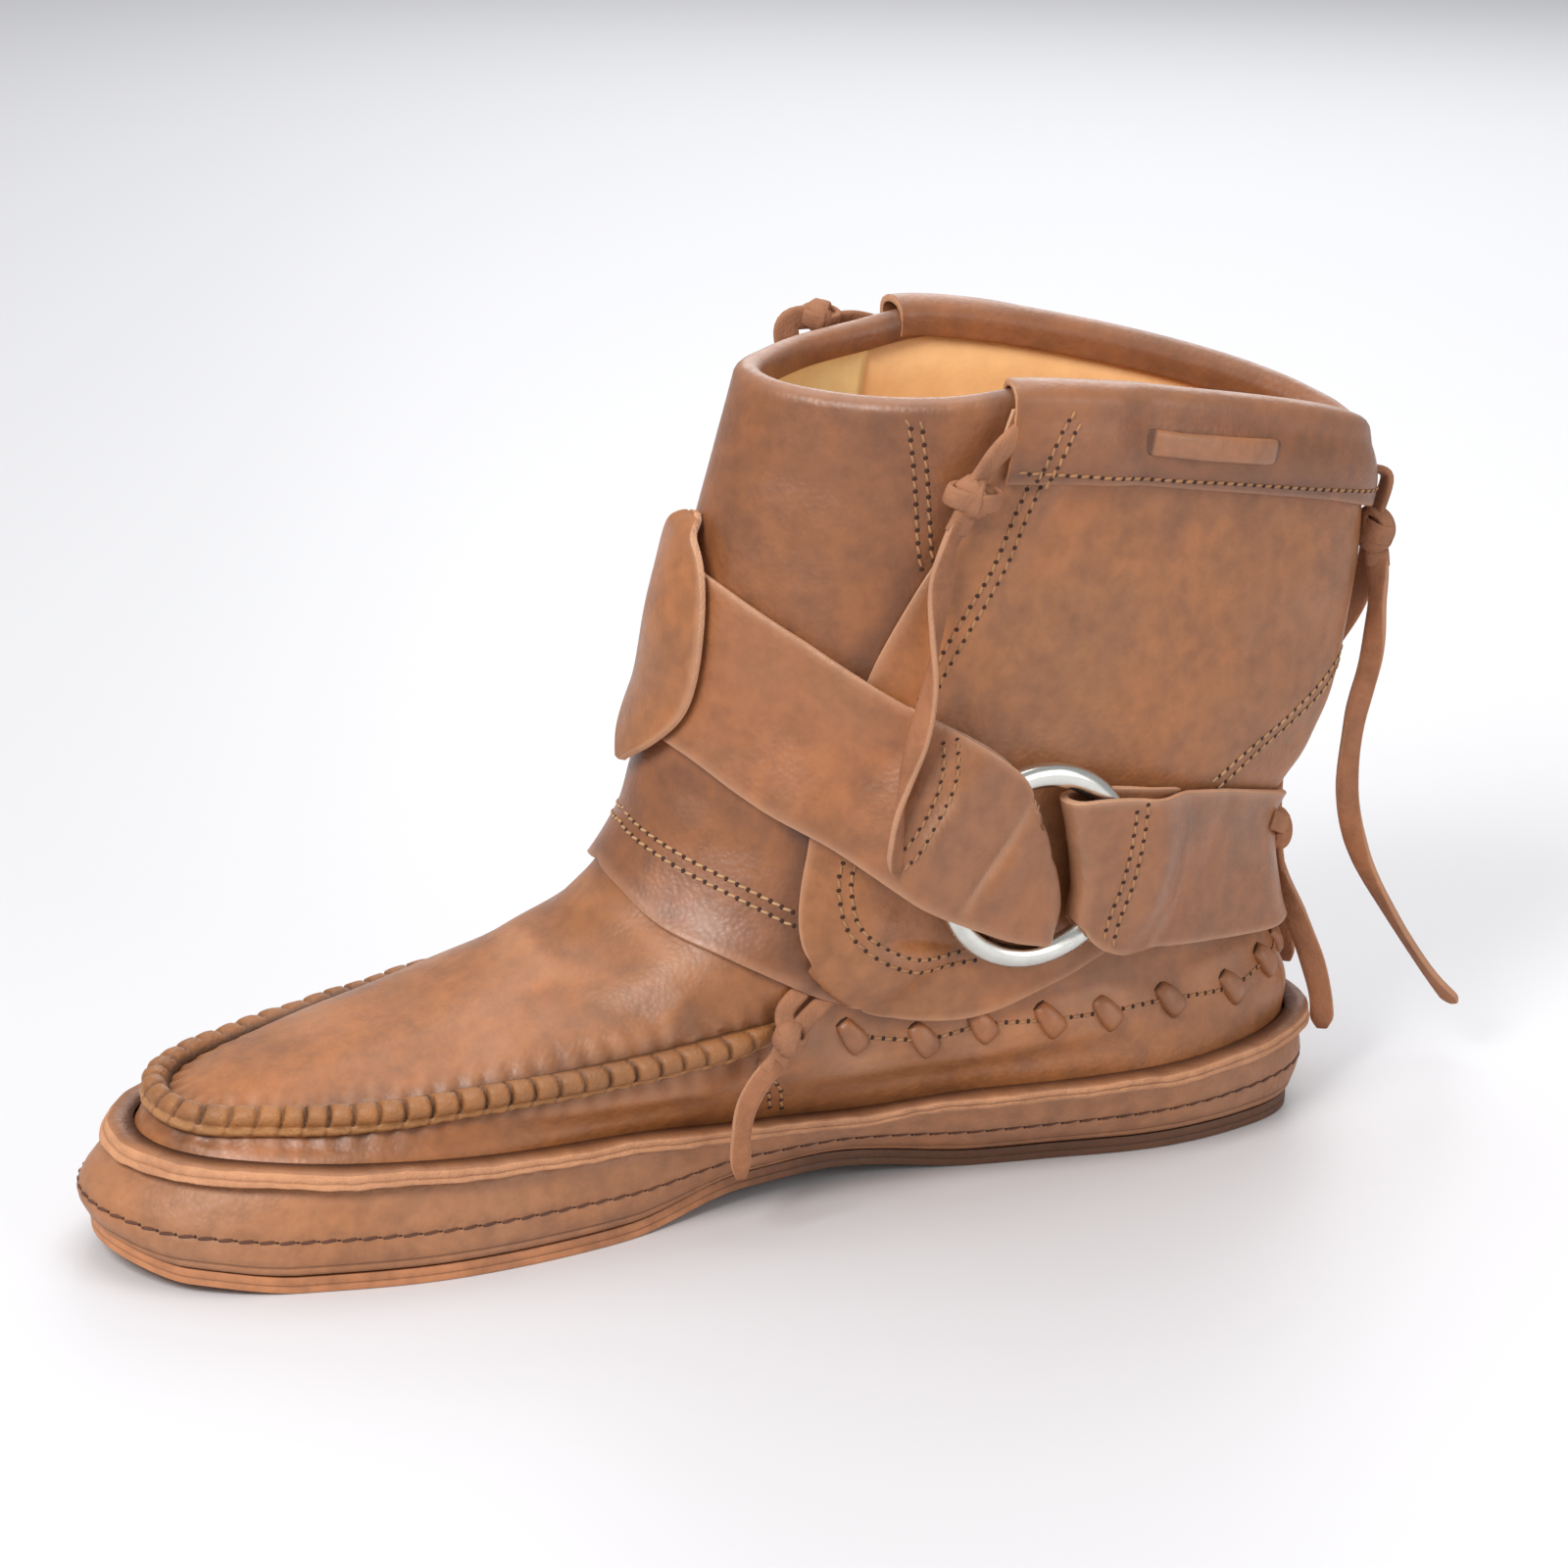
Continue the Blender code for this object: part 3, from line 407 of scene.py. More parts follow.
def even_turns(count, level):
    """Shares of the way round at equal distances on the last, instead of crowded at the toe."""
    turns = steps(0.0, 1.0, FINE_TURNS)
    walked = walk_of(last(turns, level))
    return np.interp(steps(0.0, walked[-1], count + 1)[:-1], walked, turns)


toe = last(0.5, 1.0)
print("toe of the last at", np.round(toe, 4))

# %% [markdown]
# ## Finishes
#
# Oiled leather is cloudy: warm where it is stretched, duller where it rests, with small dark flecks.
# Those tones are one node group that every leather uses with its own colours. A second group gives
# the pores. Each mesh carries two numbers per point, pale and dark, which the modelling code sets
# beside edges, seams and folds: pale for worn edges and painted highlights on folds and rolls, dark
# for painted shade in folds, grooves and gaps and along seams.


# %% Node group for cloudy leather tones
def new_group(name, inputs, outputs):
    group = bpy.data.node_groups.new(name, "ShaderNodeTree")
    for label, kind, value in inputs:
        socket = group.interface.new_socket(label, in_out="INPUT", socket_type=kind)
        socket.default_value = value
    for label, kind in outputs:
        group.interface.new_socket(label, in_out="OUTPUT", socket_type=kind)
    return group, group.nodes.new("NodeGroupInput"), group.nodes.new("NodeGroupOutput")


def add_node(tree, kind, **settings):
    node = tree.nodes.new(kind)
    for name, value in settings.items():
        setattr(node, name, value)
    return node


def noise(tree, scale, detail, vector, roughness=0.55):
    node = add_node(tree, "ShaderNodeTexNoise")
    node.inputs["Scale"].default_value = scale
    node.inputs["Detail"].default_value = detail
    node.inputs["Roughness"].default_value = roughness
    tree.links.new(vector, node.inputs["Vector"])
    return node


def spread(tree, value, low, high, to_low=0.0, to_high=1.0):
    """Stretches a narrow range of a value over a wide one."""
    node = add_node(tree, "ShaderNodeMapRange")
    for label, number in zip(("From Min", "From Max", "To Min", "To Max"), (low, high, to_low, to_high)):
        node.inputs[label].default_value = number
    tree.links.new(value, node.inputs["Value"])
    return node.outputs["Result"]


def blend(tree, factor, start, end, mode="MIX"):
    node = add_node(tree, "ShaderNodeMix", data_type="RGBA", blend_type=mode)
    for socket, value in ((node.inputs[0], factor), (node.inputs[6], start), (node.inputs[7], end)):
        if isinstance(value, (int, float, tuple)):
            socket.default_value = value
        else:
            tree.links.new(value, socket)
    return node.outputs[2]


COLOUR, NUMBER = "NodeSocketColor", "NodeSocketFloat"
GREY = (0.5, 0.5, 0.5, 1.0)
tones, tones_in, tones_out = new_group(
    "leather_tones",
    [("Base", COLOUR, GREY), ("Warm", COLOUR, GREY), ("Dull", COLOUR, GREY), ("Pale", COLOUR, GREY),
     ("Dark", COLOUR, GREY), ("Clouds", NUMBER, 1.0)],
    [("Color", COLOUR)])
place = add_node(tones, "ShaderNodeTexCoord").outputs["Object"]
clouds = noise(tones, 26.0, 3.0, place)
patches = noise(tones, 60.0, 4.0, place)
streaks = noise(tones, 240.0, 5.0, place)
warm_mask = spread(tones, clouds.outputs["Fac"], 0.40, 0.70)
dull_mask = spread(tones, patches.outputs["Fac"], 0.44, 0.76, 0.0, 0.70)
fleck_mask = spread(tones, streaks.outputs["Fac"], 0.35, 0.75, 0.0, 0.26)
colour = blend(tones, warm_mask, tones_in.outputs["Base"], tones_in.outputs["Warm"])
colour = blend(tones, dull_mask, colour, tones_in.outputs["Dull"])
colour = blend(tones, fleck_mask, colour, tones_in.outputs["Dark"])
cloudy = blend(tones, tones_in.outputs["Clouds"], tones_in.outputs["Base"], colour)
# Mixes in the pale colour for worn edges and painted highlights, and the dark colour for painted shade in
# folds, grooves and gaps and along seams.
pale_part = add_node(tones, "ShaderNodeAttribute", attribute_name="pale").outputs["Fac"]
dark_part = add_node(tones, "ShaderNodeAttribute", attribute_name="dark").outputs["Fac"]
with_wear_and_highlights = blend(tones, pale_part, cloudy, tones_in.outputs["Pale"])
with_painted_shade = blend(tones, dark_part, with_wear_and_highlights, tones_in.outputs["Dark"])
tones.links.new(with_painted_shade, tones_out.inputs["Color"])
print("nodes in", tones.name, len(tones.nodes))

# %% Node group for pores and fine wrinkles
grain, grain_in, grain_out = new_group(
    "leather_grain", [("Pores", NUMBER, 900.0), ("Wrinkles", NUMBER, 120.0)], [("Height", NUMBER)])
place = add_node(grain, "ShaderNodeTexCoord").outputs["Object"]
pores = add_node(grain, "ShaderNodeTexVoronoi")
pores.feature = "F1"
grain.links.new(place, pores.inputs["Vector"])
grain.links.new(grain_in.outputs["Pores"], pores.inputs["Scale"])
wrinkles = add_node(grain, "ShaderNodeTexNoise")
wrinkles.inputs["Detail"].default_value = 6.0
wrinkles.inputs["Roughness"].default_value = 0.65
grain.links.new(place, wrinkles.inputs["Vector"])
grain.links.new(grain_in.outputs["Wrinkles"], wrinkles.inputs["Scale"])
added = add_node(grain, "ShaderNodeMath", operation="MULTIPLY_ADD")
added.inputs[1].default_value = 0.35
grain.links.new(pores.outputs["Distance"], added.inputs[0])
grain.links.new(wrinkles.outputs["Fac"], added.inputs[2])
grain.links.new(added.outputs["Value"], grain_out.inputs["Height"])
print("nodes in", grain.name, len(grain.nodes))

# %% Materials
def linear(red, green, blue):
    """Linear colour for a screen colour from 0 to 255."""
    share = np.array([red, green, blue]) / 255.0
    lit = np.where(share <= 0.04045, share / 12.92, ((share + 0.055) / 1.055) ** 2.4)
    return (*[float(value) for value in lit], 1.0)


def new_material(name):
    made = bpy.data.materials.new(name)
    made.use_nodes = True
    return made, made.node_tree, made.node_tree.nodes["Principled BSDF"]


def leather(name, base, warm, dull, pale, dark, rough=(0.40, 0.58), clouds=1.0, pores=850.0,
            wrinkles=140.0, bump=0.00022, coat=0.0):
    """A leather finish from the two groups, with its own colours."""
    made, tree, shader = new_material(name)
    tone = add_node(tree, "ShaderNodeGroup", node_tree=tones)
    for label, value in (("Base", base), ("Warm", warm), ("Dull", dull), ("Pale", pale), ("Dark", dark)):
        tone.inputs[label].default_value = linear(*value)
    tone.inputs["Clouds"].default_value = clouds
    tree.links.new(tone.outputs["Color"], shader.inputs["Base Color"])
    relief = add_node(tree, "ShaderNodeGroup", node_tree=grain)
    relief.inputs["Pores"].default_value = pores
    relief.inputs["Wrinkles"].default_value = wrinkles
    raised = add_node(tree, "ShaderNodeBump")
    raised.inputs["Distance"].default_value = bump
    tree.links.new(relief.outputs["Height"], raised.inputs["Height"])
    tree.links.new(raised.outputs["Normal"], shader.inputs["Normal"])
    shine = spread(tree, relief.outputs["Height"], 0.35, 0.85, *rough)
    tree.links.new(shine, shader.inputs["Roughness"])
    shader.inputs["Coat Weight"].default_value = coat
    shader.inputs["Coat Roughness"].default_value = 0.35
    return made


TAN = leather(
    "tan_leather", (163, 106, 65), (180, 112, 62), (130, 84, 54), (200, 150, 116), (72, 42, 24),
    rough=(0.32, 0.52), coat=0.22)
# Darker hide of the front panel and the cuff; on the cuff the darker colour is also painted shade, where the
# cuff bends away from the light.
DEEP_TAN = leather(
    "deep_tan_leather", (142, 89, 55), (158, 97, 55), (112, 71, 46), (190, 140, 108), (64, 37, 22),
    rough=(0.30, 0.50), coat=0.3)
STRAP_TAN = leather(
    "strap_leather", (158, 103, 66), (174, 108, 64), (130, 86, 58), (204, 158, 126), (70, 40, 24),
    rough=(0.30, 0.48), coat=0.3)
RAND_TAN = leather(
    "rand_leather", (172, 120, 86), (182, 122, 80), (144, 98, 70), (204, 156, 122), (76, 46, 29),
    wrinkles=90.0, bump=0.0003)
RAW_EDGE = leather(
    "raw_edge", (206, 150, 112), (214, 154, 112), (174, 120, 88), (230, 184, 150), (112, 68, 44),
    rough=(0.75, 0.95), pores=1500.0, wrinkles=700.0, bump=0.0004)
SUEDE = leather(
    "thong_suede", (164, 110, 78), (176, 116, 78), (132, 88, 62), (204, 156, 124), (80, 48, 31),
    rough=(0.72, 0.95), pores=1600.0, wrinkles=500.0, bump=0.0003)
LINING = leather(
    "lining_leather", (255, 203, 142), (255, 204, 138), (244, 188, 122), (255, 222, 170), (196, 128, 72),
    rough=(0.5, 0.7), clouds=0.6, bump=0.00012)
# Lighter lining for the front leaf: partly a lighter leather, partly painted light, since the quarter's
# lining behind it lies in shadow.
LINING_LEAF = leather(
    "lining_leaf_leather", (255, 228, 164), (255, 230, 164), (248, 212, 142), (255, 242, 190),
    (200, 146, 90), rough=(0.5, 0.7), clouds=0.6, bump=0.00012)
SOLE_EDGE = leather(
    "sole_edge", (196, 132, 90), (204, 136, 90), (146, 96, 66), (216, 160, 122), (72, 44, 28),
    rough=(0.45, 0.65), wrinkles=260.0)
SEAM_CORD = leather(
    "seam_cord", (146, 90, 45), (164, 103, 50), (112, 68, 35), (204, 150, 98), (44, 25, 12),
    rough=(0.38, 0.6), pores=1300.0, wrinkles=500.0, bump=0.0003, coat=0.1)
THREAD_GRAIN = {"pores": 2600.0, "wrinkles": 2000.0, "bump": 0.0001}
THREAD_LIGHT = leather(
    "thread_light", (198, 158, 116), (206, 164, 120), (176, 134, 96), (222, 188, 148), (110, 74, 46),
    rough=(0.6, 0.8), **THREAD_GRAIN)
THREAD_TAN = leather(
    "thread_tan", (176, 130, 90), (184, 134, 90), (152, 108, 76), (200, 158, 120), (90, 58, 38),
    rough=(0.6, 0.8), **THREAD_GRAIN)
THREAD_DARK = leather(
    "thread_dark", (96, 58, 40), (104, 62, 42), (80, 48, 34), (128, 84, 60), (48, 28, 18),
    rough=(0.55, 0.75), **THREAD_GRAIN)
# Dark beads of this finish are painted shade standing in for needle holes, whip holes and slits.
HOLE_SHADE = leather(
    "needle_hole_shade", (66, 40, 25), (70, 42, 27), (56, 34, 22), (94, 62, 42), (34, 20, 13), rough=(0.8, 0.9))
print("leathers and threads:", len(bpy.data.materials))

# %% Nickel and floor
NICKEL, tree, shader = new_material("satin_nickel")
shader.inputs["Metallic"].default_value = 1.0
place = add_node(tree, "ShaderNodeTexCoord").outputs["Object"]
haze = noise(tree, 300.0, 4.0, place)
metal = blend(tree, haze.outputs["Fac"], linear(232, 232, 226), linear(206, 206, 200))
tree.links.new(metal, shader.inputs["Base Color"])
tree.links.new(spread(tree, haze.outputs["Fac"], 0.3, 0.7, 0.16, 0.30), shader.inputs["Roughness"])

FLOOR, tree, shader = new_material("studio_floor")
shader.inputs["Base Color"].default_value = (0.76, 0.76, 0.78, 1.0)
shader.inputs["Roughness"].default_value = 0.45
floor_mesh.materials.append(FLOOR)
print("materials:", len(bpy.data.materials))

# %% [markdown]
# ## From points to leather
#
# Every leather piece is a grid of points on the last. A Solidify modifier gives it the thickness of
# the hide, with a second material on the cut edge, and a small Bevel takes the sharpness off. Fine
# rows cost little, so creases and puckers are real geometry.


# %% Mesh helpers
def new_object(name, mesh, *finishes):
    for finish in finishes:
        mesh.materials.append(finish)
    mesh.shade_smooth()
    made = bpy.data.objects.new(name, mesh)
    bpy.context.scene.collection.objects.link(made)
    return made


def mesh_of(name, points, faces):
    mesh = bpy.data.meshes.new(name)
    mesh.from_pydata(points.reshape(-1, 3).tolist(), [], faces)
    return mesh


def grid_mesh(name, points, closed=False):
    """A mesh of quads on a grid of points (rows, columns), facing out of the last."""
    rows, count = points.shape[:2]
    index = np.arange(rows * count).reshape(rows, count)
    beside = np.roll(index, -1, axis=1) if closed else index[:, 1:]
    here = index if closed else index[:, :-1]
    quads = np.stack([here[:-1], here[1:], beside[1:], beside[:-1]], -1).reshape(-1, 4)
    return mesh_of(name, points, quads.tolist())


def paint(mesh, pale=0.0, dark=0.0):
    """The two numbers per point that the leather tones read."""
    for label, values in (("pale", pale), ("dark", dark)):
        layer = mesh.attributes.new(label, "FLOAT", "POINT")
        filled = np.broadcast_to(np.asarray(values, float).ravel(), (len(mesh.vertices),))
        layer.data.foreach_set("value", np.clip(filled, 0.0, 1.0).astype(np.float32))


def hide(name, points, thick, finish, edge=RAW_EDGE, closed=False, offset=1.0, pale=0.0, dark=0.0,
         round_edge=0.0004):
    """A piece of leather: a grid, its thickness, its cut edge."""
    mesh = grid_mesh(name, points, closed)
    paint(mesh, pale, dark)
    made = new_object(name, mesh, finish, edge)
    wall = made.modifiers.new("thickness", "SOLIDIFY")
    wall.thickness = thick
    wall.offset = offset
    wall.material_offset_rim = 1
    if round_edge:
        bevel = made.modifiers.new("softened_edge", "BEVEL")
        bevel.width = round_edge
        bevel.segments = 2
        bevel.limit_method = "ANGLE"
        bevel.angle_limit = math.radians(60)
    return made


def stands_for(piece, slot, *nodes):
    """The piece rides on the boot, in place of CAD nodes."""
    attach(piece, "root")
    if nodes:
        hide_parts(*nodes)
    return piece


def ripple(points, scale, seed=0.0):
    """Soft made-to-measure unevenness from -1 to 1, without random numbers."""
    x, y, z = [points[..., axis] * scale + seed for axis in range(3)]
    wave = np.sin(x + 1.7 * np.sin(0.8 * y + seed)) + np.sin(1.3 * y + 1.1 * np.sin(1.1 * z))
    return (wave + np.sin(1.6 * z + 1.4 * np.sin(0.9 * x))) / 3


def distance_to(points, line):
    """Distance from each point to a line of many points, and how far along the line that is."""
    flat = points.reshape(-1, 3)
    best = np.full(len(flat), 1e9)
    along = np.zeros(len(flat))
    walked = walk_of(line)
    for index in range(len(line) - 1):
        start, run = line[index], line[index + 1] - line[index]
        share = np.clip((flat - start) @ run / (run @ run), 0.0, 1.0)
        gap = np.linalg.norm(flat - start - share[:, None] * run, axis=1)
        closer = gap < best
        best = np.where(closer, gap, best)
        along = np.where(closer, walked[index] + share * np.linalg.norm(run), along)
    return best.reshape(points.shape[:-1]), along.reshape(points.shape[:-1]), walked[-1]


def line_on_last(rows, side=1, count=120, out=0.004):
    """A line above the last through (around, level) rows, and its normals."""
    share = steps(0.0, 1.0, count)
    around, level = on_side(table_line(rows, share, 0), side), table_line(rows, share, 1)
    return surface(around, level, np.full(count, out)), last_normal(around, level)


def crease(points, rows, side, width, depth, lip=0.35):
    """Depth of a soft fold along a line: a trough with a raised lip, fading out at its ends."""
    line, _ = line_on_last(rows, side, 16, 0.0)
    gap, along, length = distance_to(points, line)
    fade = soft(ramp(np.minimum(along, length - along), 0.0, 0.3 * length))
    return depth * fade * (lip * hump(gap, 1.9 * width, 0.9 * width) - hump(gap, 0.0, width))


def creases(points, table):
    """Depth of several soft folds; a table row holds a line, its side, a width and a depth."""
    return sum(crease(points, *row) for row in table)


def within(share, rate):
    """0 at both ends of a share, rising to 1 a little way in."""
    return np.clip(share * rate, 0, 1) * np.clip((1 - share) * rate, 0, 1)




# %% [markdown]
# ## The foot
#
# The foot is one leather tray, the wall, sewn to a plug on top. Both follow the last, so they are
# one grid. The wall has a little slack above the rim, the plug has shallow walking folds, and the
# leather draws into puckers beside the plug's seam.

# %% Line of the plug's seam
SEAM_ROWS = (
    (0.268, 5.60), (0.281, 5.30), (0.304, 5.00), (0.343, 4.65), (0.372, 4.30), (0.405, 4.02),
    (0.455, 3.92), (0.5, 3.90))


def seam_place(share):
    """Around and level on the seam, from its medial end (0) round the toe to its lateral end (1)."""
    share = np.asarray(share)
    half = np.where(share <= 0.5, 2 * share, 2 - 2 * share)
    around = table_line(SEAM_ROWS, half, 0)
    return np.where(share <= 0.5, around, 1 - around), table_line(SEAM_ROWS, half, 1)


SEAM_STEPS = 400
seam_around, seam_level = seam_place(steps(0.0, 1.0, SEAM_STEPS))
seam_line = last(seam_around, seam_level)
seam_walked = walk_of(seam_line)
PUCKER_PITCH = 0.0052
pucker_count = int(round(seam_walked[-1] / PUCKER_PITCH))
print("puckers round the plug:", pucker_count)

# %% Folds of the foot
FOOT_CREASES = (
    (((0.36, 7.5), (0.42, 8.25), (0.5, 8.5), (0.58, 8.25), (0.64, 7.5)), 1, 0.0050, 0.00060),
    (((0.33, 6.7), (0.38, 7.1), (0.44, 7.5)), 1, 0.0040, 0.00040),
    (((0.30, 5.7), (0.315, 6.3), (0.325, 6.9)), 1, 0.0028, 0.00070),
    (((0.30, 5.7), (0.315, 6.3), (0.325, 6.9)), -1, 0.0028, 0.00060),
    (((0.34, 3.1), (0.30, 3.0), (0.262, 3.1)), 1, 0.0022, 0.00050),
    (((0.25, 3.0), (0.20, 2.9), (0.13, 3.1)), 1, 0.0024, 0.00045),
    (((0.34, 3.1), (0.30, 3.0), (0.22, 3.1)), -1, 0.0024, 0.00045),
    (((0.20, 5.0), (0.165, 5.35), (0.13, 5.2)), 1, 0.0034, 0.00070),
    (((0.12, 4.9), (0.08, 5.1), (0.03, 5.0)), 1, 0.0030, 0.00050),
    (((0.20, 5.0), (0.165, 5.35), (0.10, 5.2)), -1, 0.0034, 0.00060),
    (((0.42, 3.0), (0.46, 3.1), (0.5, 3.05)), 1, 0.0022, 0.00035),
)
PUCKER_PULL, PUCKER_FROM, PUCKER_REACH = 0.00028, 0.003, 0.0035
SHOWN_FROM, SHOWN_TO = 2.3, 9.4
foot_levels = np.concatenate([
    steps(0.0, 1.9, 6), steps(2.0, 9.6, 98), steps(9.9, COLLAR_LEVEL, 9)])
foot_around, foot_level = np.meshgrid(even_turns(380, 3.0), foot_levels)
foot = last(foot_around, foot_level)
seam_gap, seam_along, _ = distance_to(foot, seam_line[::4])
pucker = np.cos(2 * np.pi * seam_along / PUCKER_PITCH)
foot_out = creases(foot, FOOT_CREASES) + 0.00022 * ripple(foot, 150.0)
foot_out += PUCKER_PULL * pucker * hump(seam_gap, PUCKER_FROM, PUCKER_REACH)
foot_out *= ramp(foot_level, SHOWN_FROM, 0.5) * ramp(SHOWN_TO - foot_level, 0.0, 0.8)
# Painted shade beside the plug's seam and in the folds' troughs; painted highlight on their raised lips.
seam_foot_shade = 0.55 * hump(seam_gap, 0.0, 0.0042)
fold_painted_shade = np.clip(-foot_out / 0.0011, 0.0, 0.14)
fold_painted_highlight = np.clip(foot_out / 0.0008, 0.0, 0.28)
foot_points = foot + foot_out[..., None] * last_normal(foot_around, foot_level)
upper = hide(
    "upper_leather", foot_points, UPPER_THICK, TAN, closed=True, offset=-1.0,
    pale=fold_painted_highlight, dark=seam_foot_shade + fold_painted_shade, round_edge=0.0)
upper.data.materials.append(LINING)
upper.modifiers["thickness"].material_offset = 2
stands_for(upper, "tan_leather", "upper")
print("foot grid:", foot.shape)

# %% [markdown]
# ## Sole, rand and rim
#
# Below the wall a thin outsole is stitched to a rand, a low leather cup. Between rand and wall stand
# two raw leather edges, a little wavy because they were trimmed by hand. Each is a closed ring: a
# small profile swept round the foot.


# %% Rings swept round the foot
def ring_mesh(name, rows, *finishes):
    """A closed solid from rows of points: each row is a loop, and the last row joins the first."""
    points = np.stack(rows)
    below = np.arange(points[..., 0].size).reshape(points.shape[:2])
    above = np.roll(below, -1, axis=0)
    quads = np.stack([below, above, np.roll(above, -1, 1), np.roll(below, -1, 1)], -1).reshape(-1, 4)
    return new_object(name, mesh_of(name, points, quads.tolist()), *finishes)


ROUND = even_turns(420, 1.0)
feather = last(ROUND, 0.0)[:, 2]
belly = last(ROUND, 1.0)[:, 2]
rim_middle = last(ROUND, RIM_LEVEL)[:, 2]
rand_top = rim_middle - RIM_THICK / 2 - CLEARANCE
RAND_GROOVE, RAND_SEAM_SHARE, RAND_LIP = 0.135, 0.475, 0.96
RAND_PROFILE = (
    (0.00, 0.35), (0.02, 0.70), (0.06, 0.88), (0.11, 0.92), (0.135, 0.80), (0.16, 0.95), (0.28, 1.04),
    (0.40, 1.10), (0.45, 1.09), (0.475, 1.00), (0.50, 1.09), (0.62, 1.14), (0.75, 1.12), (0.88, 1.02),
    (0.96, 0.85), (1.00, 0.50))


def rand_height(share):
    """Height on the rand: 0 at the outsole, 1 under the rim."""
    low = mix(feather, belly, np.minimum(2 * share, 1.0))
    return mix(low, rand_top, max(2 * share - 1, 0.0))


rand_rows = [side_point(ROUND, rand_height(0.0), SEAT), side_point(ROUND, rand_height(1.0), SEAT)]
rand_rows.reverse()
for share, swell in RAND_PROFILE:
    reach = SEAT + RAND_THICK * swell
    points = side_point(ROUND, rand_height(share), reach)
    wobble = 0.00018 * ripple(points, 120.0, 0.7) + 0.00012 * ripple(points, 420.0, 2.0)
    rand_rows.append(points + wobble[:, None] * unit(points * (1, 1, 0)))
rand = ring_mesh("rand_leather_cup", rand_rows, RAND_TAN)
shares_down = np.concatenate([[1.0, 0.0], [share for share, _ in RAND_PROFILE]])
# Painted shade at the rand's foot on the outsole, in its groove and along its stitch line.
rand_painted_shade = 0.25 * hump(shares_down, RAND_SEAM_SHARE, 0.02) + 0.4 * hump(shares_down, 0.0, 0.05)
rand_painted_shade += 0.6 * hump(shares_down, RAND_GROOVE, 0.015)
rand_pale = 0.5 * hump(shares_down, RAND_LIP, 0.06)
paint(rand.data, np.repeat(rand_pale, len(ROUND)), np.repeat(rand_painted_shade, len(ROUND)))
stands_for(rand, "tan_leather", "rand")
print("rand rows:", len(rand_rows))

# %% [markdown]
# ## Rim
#
# The rim is the raw double edge that stands out between wall and rand. A trimmed edge is never
# straight, so each row of its profile gets two waves, a slow one and a fine one. Its top faces
# keep the skin side of the leather and so take the rand's finish.

# %% Double raw rim
RIM_PROFILE = (
    (0.0, -0.50), (0.84, -0.50), (0.97, -0.46), (1.00, -0.36), (0.99, -0.14), (0.93, -0.08), (0.97, -0.01),
    (0.99, 0.18), (0.96, 0.38), (0.86, 0.50), (0.0, 0.44))
RIM_SHADE = (0.9, 0.5, 0.1, 0.0, 0.05, 0.38, 0.05, 0.0, 0.0, 0.25, 0.9)
rim_reach = SEAT + RAND_THICK + RIM_STAND
rim_rows = []
for out, rise in RIM_PROFILE:
    reach = mix(SEAT, rim_reach, out)
    points = side_point(ROUND, rim_middle + RIM_THICK * rise, reach)
    wave = out * (0.00045 * ripple(points, 170.0, 3.0) + 0.00022 * ripple(points, 640.0, 1.0))
    points = points + wave[:, None] * unit(points * (1, 1, 0))
    points[:, 2] += out * (0.00045 * ripple(points, 210.0, 5.0) + 0.0002 * ripple(points, 700.0, 2.0 + rise))
    rim_rows.append(points)
rim = ring_mesh("rim_edges", rim_rows, RAW_EDGE, RAND_TAN)
TOP_FACES = slice(8 * len(ROUND), 10 * len(ROUND))
for face in rim.data.polygons[TOP_FACES]:
    face.material_index = 1
paint(rim.data, 0.0, np.repeat(RIM_SHADE, len(ROUND)))
stands_for(rim, "raw_leather", "rim")
print("rim rows:", len(rim_rows))

# %% [markdown]
# ## Outsole
#
# The outsole is one layer of firm leather with a flat underside. Only its edge shows, so the
# profile goes into detail there, and two strips of quads close the middle above and below.

# %% Outsole
OUTSOLE_PROFILE = (
    (0.0, 0.80), (0.05, 0.96), (0.40, 1.00), (0.48, 0.93), (0.56, 1.00), (0.92, 0.98), (1.0, 0.90))
OUTSOLE_INSIDE = ((1.0, 0.006), (1.0, 0.020), (0.0, 0.020), (0.0, 0.006))
SHADED_SHARES = (0.0, 0.48)
WAIST_FRONT, WAIST_FADE = 0.56, 0.12
sole_out = RAND_THICK + SEAT - SOLE_INSET
outline = side_point(ROUND, feather, sole_out)
lift = sole_lift(ORIGIN_FROM_HEEL - outline[:, 1])
sole_rows = []
for share, reach in OUTSOLE_PROFILE:
    points = side_point(ROUND, feather, sole_out * reach)
    points[:, 2] = lift + OUTSOLE_THICK * share
    sole_rows.append(points)
for share, inset in OUTSOLE_INSIDE:
    points = side_point(ROUND, feather, sole_out - inset)
    points[:, 2] = lift + OUTSOLE_THICK * share
    sole_rows.append(points)
top_inner, low_inner = len(sole_rows) - 3, len(sole_rows) - 2
count = len(ROUND)
index = np.arange(len(sole_rows) * count).reshape(-1, count)
faces = []
for row in range(len(sole_rows)):
    if row == top_inner:
        continue
    below, above = index[row], index[(row + 1) % len(sole_rows)]
    faces += np.stack([below, above, np.roll(above, -1), np.roll(below, -1)], -1).tolist()
for row, turned in ((top_inner, False), (low_inner, True)):
    loop = index[row].tolist()
    for step in range(count // 2):
        cap = [loop[step], loop[step + 1], loop[count - step - 1], loop[(count - step) % count]]
        cap = list(dict.fromkeys(cap))
        faces.append(cap if turned else cap[::-1])
sole_mesh = mesh_of("outsole_leather", np.stack(sole_rows), faces)
outsole = new_object("outsole_leather", sole_mesh, SOLE_EDGE)
sole_along = (ORIGIN_FROM_HEEL - outline[:, 1]) / SOLE_LENGTH
waist_dark = 0.85 * ramp(WAIST_FRONT - sole_along, 0.0, WAIST_FADE)
